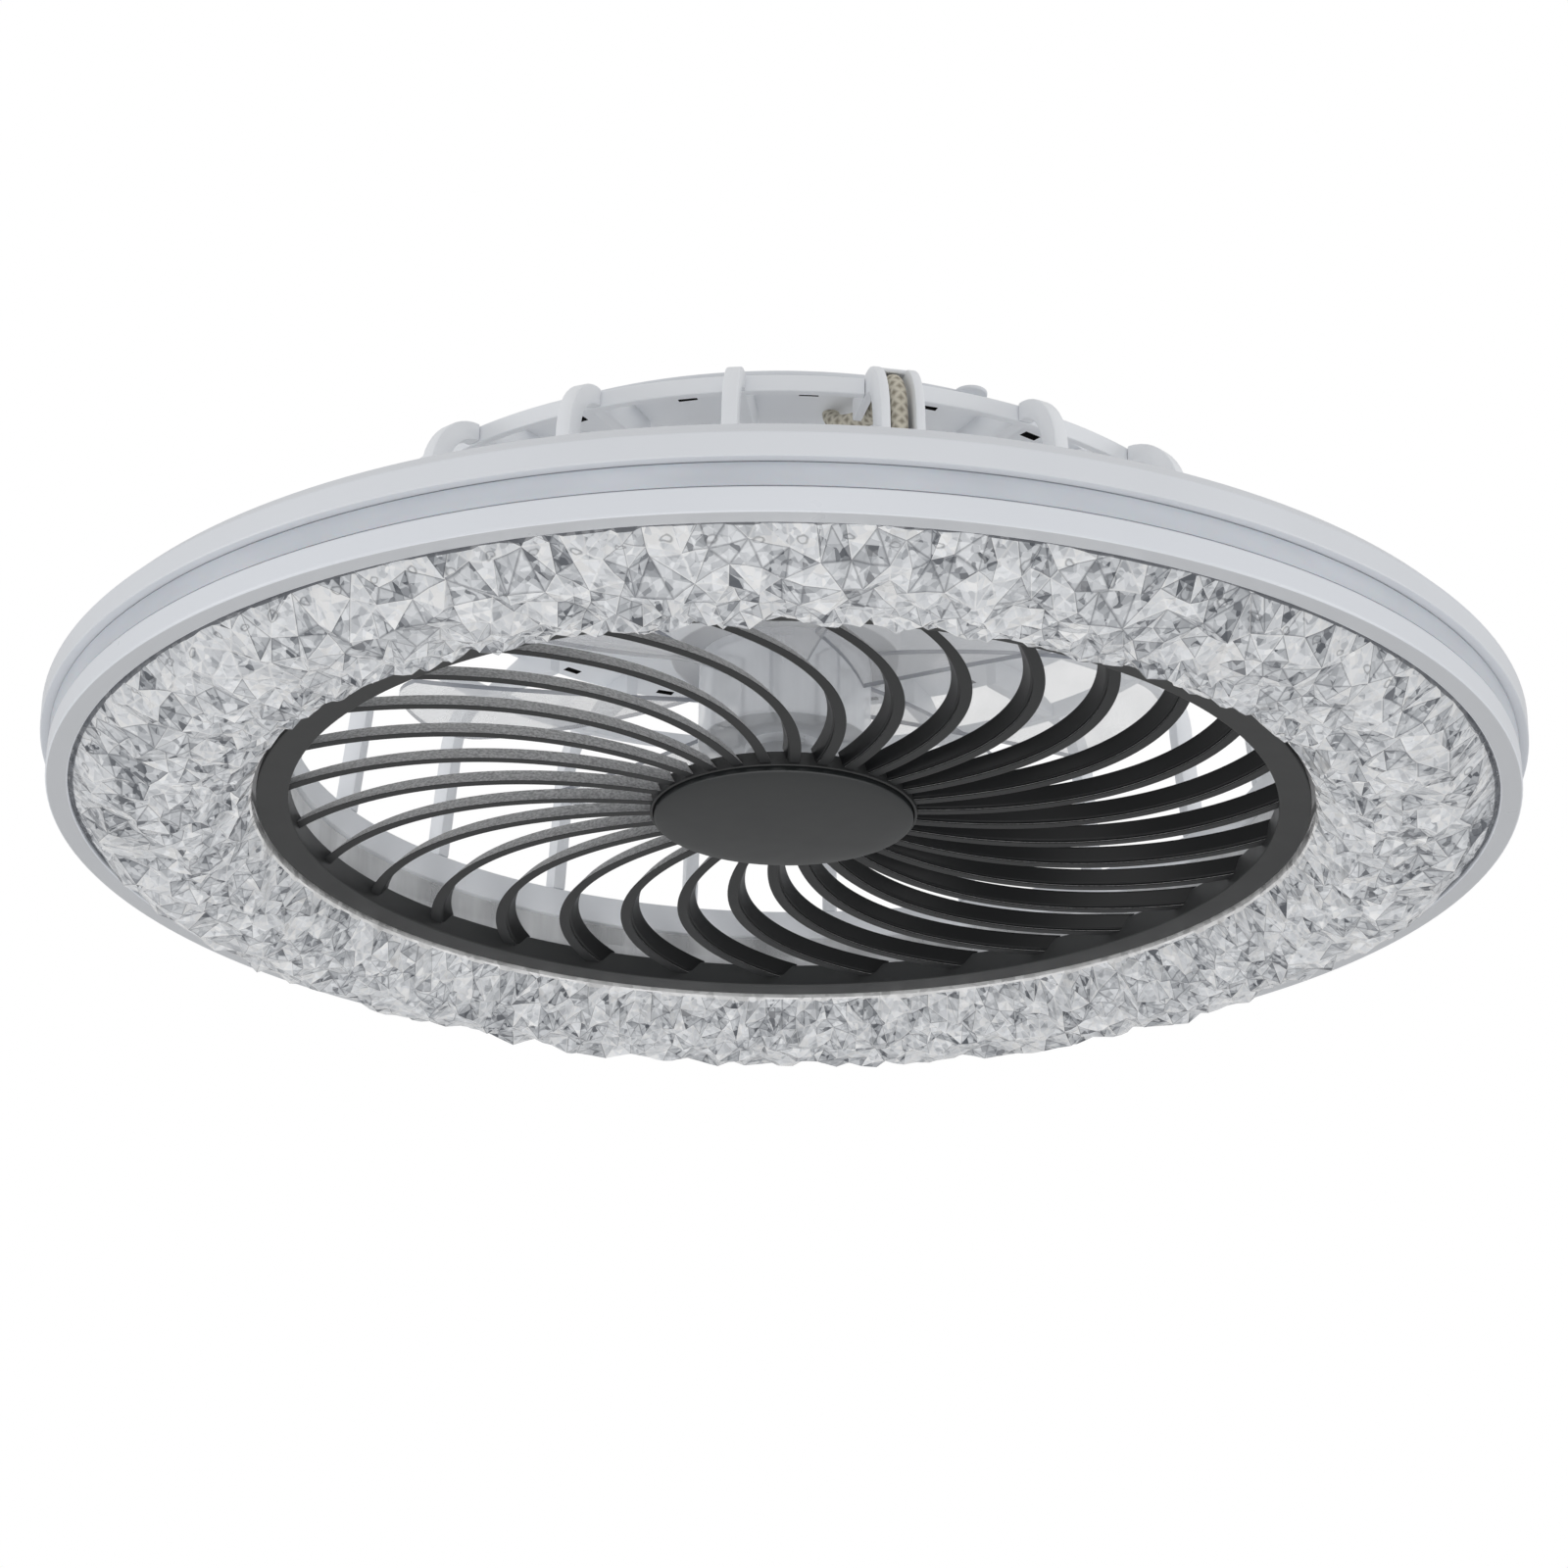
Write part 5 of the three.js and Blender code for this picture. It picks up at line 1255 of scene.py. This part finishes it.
# %% Lead in its sleeve
SLEEVE_RADIUS = 3.0
SLEEVE_SIDES = 20
SLEEVE_RINGS = 150
THREAD_WIDTH = 0.12
LEAD_ROUTE = [
    (0, 197.6, 20.3), (0, 197.6, 36), (0, 195.4, 45), (0, 190.6, 56), (0, 187.2, 66), (0, 185, 76),
    (0, 184.2, 84), (0, 182.4, 92), (0, 177.6, 98.6), (0, 171.4, 101.6), (0, 165, 102.3),
    (0, 158, 102.3), (0, 150.5, 102.4), (-1, 143.5, 102.8), (-4, 136.5, 104.6), (-8.2, 130, 106.4),
    (-10.6, 125.4, 110.4), (-10.6, 125, 115),
]


def smooth_path(points, rings):
    """Points at even shares along a Catmull-Rom curve through the given ones."""
    padded = [2 * points[0] - points[1], *points, 2 * points[-1] - points[-2]]
    path = []
    for k in range(rings + 1):
        place = k / rings * (len(points) - 1)
        i = min(int(place), len(points) - 2)
        t = place - i
        a, b, c, d = padded[i:i + 4]
        path.append(0.5 * (2 * b + (c - a) * t + (2 * a - 5 * b + 4 * c - d) * t ** 2
                           + (3 * b - a - 3 * c + d) * t ** 3))
    return path


def tube(path, radius, sides):
    """A closed tube along a path, and the (round, along) place of each corner for its UV map."""
    vertices, faces, places = [], [], []
    side = Vector((1, 0, 0))
    for i, point in enumerate(path):
        ahead = (path[min(i + 1, len(path) - 1)] - path[max(i - 1, 0)]).normalized()
        side = (side - ahead * side.dot(ahead)).normalized()
        third = ahead.cross(side)
        for k in range(sides):
            angle = FULL_TURN * k / sides
            vertices.append(point + (side * math.cos(angle) + third * math.sin(angle)) * radius)
    for i in range(len(path) - 1):
        for k in range(sides):
            j = (k + 1) % sides
            a, b = i * sides, (i + 1) * sides
            faces.append([a + k, a + j, b + j, b + k])
            places.append([(k, i), (k + 1, i), (k + 1, i + 1), (k, i + 1)])
    for ring, flip in ((0, True), (len(path) - 1, False)):
        cap = [ring * sides + k for k in range(sides)]
        faces.append(cap[::-1] if flip else cap)
        places.append([(k, ring) for k in range(sides)])
    return vertices, faces, places


turn = Matrix.Rotation(FIRST_BEARING, 3, "Z")
route = [turn @ raised((x, -radius), height) for x, radius, height in LEAD_ROUTE]
*lead_shape, lead_places = tube(smooth_path(route, SLEEVE_RINGS), SLEEVE_RADIUS * MM, SLEEVE_SIDES)
lead = keep("lamp_lead_sleeve", *lead_shape, sleeve, slot="braided_sleeve", replaces=["lamp_lead"],
            smooth_degrees=60.0)
weave = lead.data.uv_layers.new(name="weave")
for polygon, corners in zip(lead.data.polygons, lead_places):
    for loop, (around, along) in zip(polygon.loop_indices, corners):
        weave.data[loop].uv = (around * THREAD_WIDTH, along * THREAD_WIDTH)
print("lead has", len(lead.data.polygons), "faces")

# %% [markdown]
# ## Pan, hoop, ribs and canopy
#
# Above the fan a round pan closes the cage. Small slots near its edge let warm air out of the
# electrics above and look black from below. The slots are cut with a Boolean modifier, and that black
# is painted shade: the slot walls take a near-black finish, and near-black sheets lie behind them.

# %% Pan with its slots
PAN_BOTTOM, PAN_FLOOR, PAN_WALL, PAN_HEIGHT = 112.4, 2.0, 2.2, 3.6
RIB_WIDTH, RIB_REACH, RIB_DEPTH, RIB_RISE, RIB_SINK = 5.0, 20.0, 4.6, 2.4, 0.6
SLOT_LENGTH, SLOT_WIDTH, SLOT_INSET, SLOTS_PER_SIDE = 7.0, 3.6, 6.5, 5
# Sizes of the near-black sheets laid behind the slots as painted shade.
SHADE_SHEET_ENDS, SHADE_SHEET_SIDES, SHADE_SHEET_LIFT, SHADE_SHEET_THICKNESS = 3.0, 2.4, 0.1, 0.8
SLOT_PITCH = math.radians(18)
SLOT_BEARING = math.radians(3.1)

pan_top = PAN_BOTTOM + PAN_HEIGHT
floor_top = PAN_BOTTOM + PAN_FLOOR
slot_radius = PAN_RADIUS - SLOT_INSET
slot_bearings = [
    SLOT_BEARING + (i - (SLOTS_PER_SIDE - 1) / 2) * SLOT_PITCH + half
    for half in (0, math.pi) for i in range(SLOTS_PER_SIDE)
]


def slot_blocks(length, width, bottom, top):
    """A block in each slot's place."""
    block = plate(section(slot_radius - width / 2, slot_radius + width / 2, bottom, top), length)
    return merged(*(moved_to(bearing, block) for bearing in slot_bearings))


cutter = keep("slot_cutter", *slot_blocks(SLOT_LENGTH, SLOT_WIDTH, PAN_BOTTOM - 1, floor_top + 1),
              slot_shade_finish, body=None)
pan = keep("pan_floor", *turned([
    (0.0, PAN_BOTTOM), (PAN_RADIUS, PAN_BOTTOM), (PAN_RADIUS, pan_top),
    (PAN_RADIUS - PAN_WALL, pan_top), (PAN_RADIUS - PAN_WALL, floor_top), (0.0, floor_top),
], steps=144), cage_white, body=None)
cut = pan.modifiers.new("slots", "BOOLEAN")
cut.object = cutter
cut.solver = "EXACT"
# The slot walls take the cutter's near-black finish as painted shade.
cut.material_mode = "TRANSFER"
plain_copy(pan)
bpy.data.objects.remove(cutter)
soften(pan.data, SMOOTH_DEGREES)
settle(pan, "housing", ["pan"])

# Near-black sheets behind the slots, as painted shade.
keep("slot_linings", *slot_blocks(
    SLOT_LENGTH + SHADE_SHEET_ENDS, SLOT_WIDTH + SHADE_SHEET_SIDES, floor_top + SHADE_SHEET_LIFT,
    floor_top + SHADE_SHEET_LIFT + SHADE_SHEET_THICKNESS), slot_shade_finish, slot="box_plastic")
print("pan has", len(pan.data.polygons), "faces and", len(slot_bearings), "slots")

# %% Hoop and ribs
HOOP_STEPS = 200

hoop_gap = math.asin((CONDUIT_WIDTH / 2 + SEAT_GAP) / HOOP_RADIUS)

keep("cage_hoop", *turned(
    section(HOOP_RADIUS - HOOP_WALL, HOOP_RADIUS, HOOP_BOTTOM, hoop_top), HOOP_STEPS, 0.5,
    FIRST_BEARING + hoop_gap, 2 * (math.pi - hoop_gap),
), cage_white, slot="white_plastic")

hoop_middle = HOOP_RADIUS - HOOP_WALL / 2
rib_top = PAN_BOTTOM + RIB_SINK
rib_outline = [
    (hoop_middle, HOOP_BOTTOM + SEAT_GAP), (hoop_middle, HOOP_BOTTOM + RIB_DEPTH),
    (PAN_RADIUS - PAN_WALL, rib_top), (PAN_RADIUS - RIB_REACH, rib_top),
    (PAN_RADIUS - RIB_REACH, HOOP_BOTTOM + RIB_RISE),
]
ribs = keep("pan_ribs", *plate(rib_outline, RIB_WIDTH), cage_white, body=None)
bevelled(ribs, 0.5)
copied(ribs, STRUT_COUNT - 1, STRUT_PITCH, FIRST_BEARING + STRUT_PITCH, cage_white)
settle(ribs, "housing")

# %% Canopy with its lid and screw ears
LID_THICKNESS, CANOPY_RADIUS, CANOPY_WALL, CEILING_GAP = 1.9, 92.0, 2.2, 0.8
EAR_RADIUS, EAR_REACH, EAR_INSET, EAR_COUNT, EAR_STEPS = 6.0, 0.5, 0.2, 3, 40
EAR_BEARING = math.radians(26.5)

lid_bottom = pan_top + SEAT_GAP
lid_top = lid_bottom + LID_THICKNESS
canopy_top = LIP_DROP - CEILING_GAP

canopy_shape = turned([
    (CANOPY_RADIUS - CANOPY_WALL, lid_bottom), (PAN_RADIUS, lid_bottom), (PAN_RADIUS, lid_top),
    (CANOPY_RADIUS, lid_top), (CANOPY_RADIUS, canopy_top), (CANOPY_RADIUS - CANOPY_WALL, canopy_top),
], steps=144, radius=0.5)
ear_disc = turned(section(0.0, EAR_RADIUS, lid_bottom + EAR_INSET, lid_top - EAR_INSET), EAR_STEPS, 0.5)
ear_shift = Vector((0, -(PAN_RADIUS + EAR_REACH) * MM, 0))
ears = [
    moved_to(EAR_BEARING + i * FULL_TURN / EAR_COUNT, ear_disc, ear_shift) for i in range(EAR_COUNT)]
keep("canopy_smooth", *merged(canopy_shape, *ears), white, slot="white_plastic", replaces=["canopy"])
print("canopy top at", canopy_top)

# %% [markdown]
# ## Clear fan and motor
#
# The fan is moulded in clear plastic: a hub like a cup upside down and seven blades with rounded
# tips. Only their edges show clearly, as dark lines, so the faces along the rim carry a mark, and the
# clear finish paints them dark as painted shade. The motor is a plain grey drum behind the hub.

# %% Blades
BLADE_COUNT, FAN_RADIUS, FAN_HUB_RADIUS = 7, 150.0, 33.0
BLADE_THICKNESS, BLADE_HEIGHT, BLADE_PITCH_RISE = 1.8, 61.0, 15.0
BLADE_SWEEP, BLADE_ROOT_HALF = math.radians(10), math.radians(22)
BLADE_TIP_HALF, BLADE_PHASE = math.radians(15.5), math.radians(41.6)
TIP_ROUNDING = 0.075
BLADE_ROWS, BLADE_COLUMNS = 22, 22


def blade_point(along, across):
    """A point of the blade's middle surface: along runs from root to tip, across from -1 to 1."""
    root = FAN_HUB_RADIUS + SEAT_GAP
    rounding = TIP_ROUNDING * abs(across) ** 4 * along ** 8
    radius = root + (FAN_RADIUS - root) * (along - rounding)
    half = BLADE_ROOT_HALF + (BLADE_TIP_HALF - BLADE_ROOT_HALF) * along
    height = BLADE_HEIGHT - BLADE_PITCH_RISE / 2 * across * (1 - along / 2)
    return radius, BLADE_SWEEP * along + half * across, height


def blade_shape():
    """A thin curved sheet: a grid of corners below, one above, and a rim that joins them."""
    rows, columns = BLADE_ROWS, BLADE_COLUMNS
    vertices, faces = [], []
    for side in (-1, 1):
        for i in range(rows + 1):
            for j in range(columns + 1):
                radius, bearing, height = blade_point(i / rows, 2 * j / columns - 1)
                vertices.append(spot(radius, bearing, height + side * BLADE_THICKNESS / 2))

    def corner(side, place):
        return (side * (rows + 1) + place[0]) * (columns + 1) + place[1]

    for i in range(rows):
        for j in range(columns):
            square = [(i, j), (i + 1, j), (i + 1, j + 1), (i, j + 1)]
            faces.append([corner(1, place) for place in square])
            faces.append([corner(0, place) for place in square[:1] + square[:0:-1]])
    edge = [(0, j) for j in range(columns)] + [(i, columns) for i in range(rows)]
    edge += [(rows, j) for j in range(columns, 0, -1)] + [(i, 0) for i in range(rows, 0, -1)]
    for a, b in zip(edge, edge[1:] + edge[:1]):
        faces.append([corner(0, a), corner(1, a), corner(1, b), corner(0, b)])
    return vertices, faces


def mark_rim(piece, flat_faces):
    """Marks the faces of the rim for the clear finish: all but a number of flat ones that come first."""
    marks = [float(i >= flat_faces) for i in range(len(piece.data.polygons))]
    piece.data.attributes.new("rim", "FLOAT", "FACE").data.foreach_set("value", marks)


blades = keep("fan_blades", *blade_shape(), blade_clear, body=None)
mark_rim(blades, 2 * BLADE_ROWS * BLADE_COLUMNS)
copied(blades, BLADE_COUNT, FULL_TURN / BLADE_COUNT, BLADE_PHASE, blade_clear)
settle(blades, "fan", [f"blade_{i}" for i in range(1, BLADE_COUNT + 1)])

# %% Hub, nut and motor drum
FAN_HUB_BOTTOM, FAN_HUB_WALL = 34.6, 2.4
CAN_RADIUS, CAN_WALL, CAN_BOTTOM, CAN_HEIGHT = 44.0, 2.5, 70.0, 34.0
BOSS_RADIUS, BOSS_BOTTOM, BEARING_RADIUS, SHOULDER_RADIUS = 18.0, 37.3, 11.0, 9.0
STUB_RADIUS, STUB_HEIGHT, NUT_RADIUS, NUT_HEIGHT = 11.0, 4.4, 15.0, 3.8
BEARING_HEIGHT = 7.0

hub_top = CAN_BOTTOM - SEAT_GAP
hub_bore = BOSS_RADIUS + SEAT_GAP
seat_radius = BEARING_RADIUS + SEAT_GAP
can_top = CAN_BOTTOM + CAN_HEIGHT
can_floor = CAN_BOTTOM + CAN_WALL
lower_seat_top = BOSS_BOTTOM + STUB_HEIGHT + SEAT_GAP + BEARING_HEIGHT + SEAT_GAP

keep("fan_hub_cup", *turned([
    (STUB_RADIUS + SEAT_GAP, FAN_HUB_BOTTOM), (FAN_HUB_RADIUS, FAN_HUB_BOTTOM), (FAN_HUB_RADIUS, hub_top),
    (hub_bore, hub_top), (hub_bore, hub_top - FAN_HUB_WALL),
    (FAN_HUB_RADIUS - FAN_HUB_WALL, hub_top - FAN_HUB_WALL),
    (FAN_HUB_RADIUS - FAN_HUB_WALL, FAN_HUB_BOTTOM + FAN_HUB_WALL),
    (STUB_RADIUS + SEAT_GAP, FAN_HUB_BOTTOM + FAN_HUB_WALL),
], steps=DRUM_STEPS), hub_clear, body="fan", slot="clear_plastic", replaces=["fan_hub"])

keep("rotor_drum", *turned([
    (seat_radius, BOSS_BOTTOM), (BOSS_RADIUS, BOSS_BOTTOM), (BOSS_RADIUS, CAN_BOTTOM),
    (CAN_RADIUS, CAN_BOTTOM), (CAN_RADIUS, can_top), (CAN_RADIUS - CAN_WALL, can_top),
    (CAN_RADIUS - CAN_WALL, can_floor), (seat_radius, can_floor),
    (seat_radius, can_floor - BEARING_HEIGHT), (SHOULDER_RADIUS, can_floor - BEARING_HEIGHT),
    (SHOULDER_RADIUS, lower_seat_top), (seat_radius, lower_seat_top),
], steps=DRUM_STEPS, radius=0.6), motor_grey, body="fan", slot="motor_grey", replaces=["rotor_can"])

nut_top = FAN_HUB_BOTTOM - SEAT_GAP
keep("fan_nut_smooth", *turned([
    (0.0, nut_top - NUT_HEIGHT), (NUT_RADIUS, nut_top - NUT_HEIGHT), (NUT_RADIUS, nut_top),
    (STUB_RADIUS, nut_top), (STUB_RADIUS, BOSS_BOTTOM + STUB_HEIGHT), (0.0, BOSS_BOTTOM + STUB_HEIGHT),
], steps=DRUM_STEPS, radius=0.5), hub_clear, body="fan", slot="clear_plastic", replaces=["fan_nut"])
print("hub, drum and nut made")

# %% Ribs inside the hub
HUB_RIB_COUNT, HUB_RIB_WIDTH = 7, 1.6
HUB_RIB_INNER, HUB_RIB_OUTER, HUB_RIB_BOTTOM, HUB_RIB_TOP = 18.6, 30.4, 37.2, 67.0

hub_ribs = keep("fan_hub_ribs", *plate(
    section(HUB_RIB_INNER, HUB_RIB_OUTER, HUB_RIB_BOTTOM, HUB_RIB_TOP), HUB_RIB_WIDTH,
), blade_clear, body=None)
mark_rim(hub_ribs, 2)
copied(hub_ribs, HUB_RIB_COUNT, FULL_TURN / HUB_RIB_COUNT, BLADE_PHASE, blade_clear)
settle(hub_ribs, "fan")

# %% [markdown]
# ## Finishes for the nodes that stay
#
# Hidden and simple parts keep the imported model's own meshes: plates, coils, bearings, screws. Each
# gets the finish of its material slot, by assigning to the object's material slots only.

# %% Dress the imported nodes
BY_SLOT = {
    "white_plastic": white, "trim_plastic": trim, "diffuser_plastic": diffuser, "crystal_plastic": crystal,
    "clear_plastic": wall_clear, "black_plastic": black, "cap_plastic": cap_black, "motor_grey": motor_grey,
    "steel": steel, "tray_metal": tray, "board": board_white, "magnet": magnet_dark,
    "magnet_strip": magnet_dark, "copper": copper, "braided_sleeve": sleeve, "box_plastic": box_white,
}
for part in frame["record"]["subparts"]:
    node = frame["nodes"][part["node"]]
    finish = screw_steel if "screw" in part["node"] else BY_SLOT[part["material_slot"]]
    for place in node.material_slots:
        place.material = finish.material
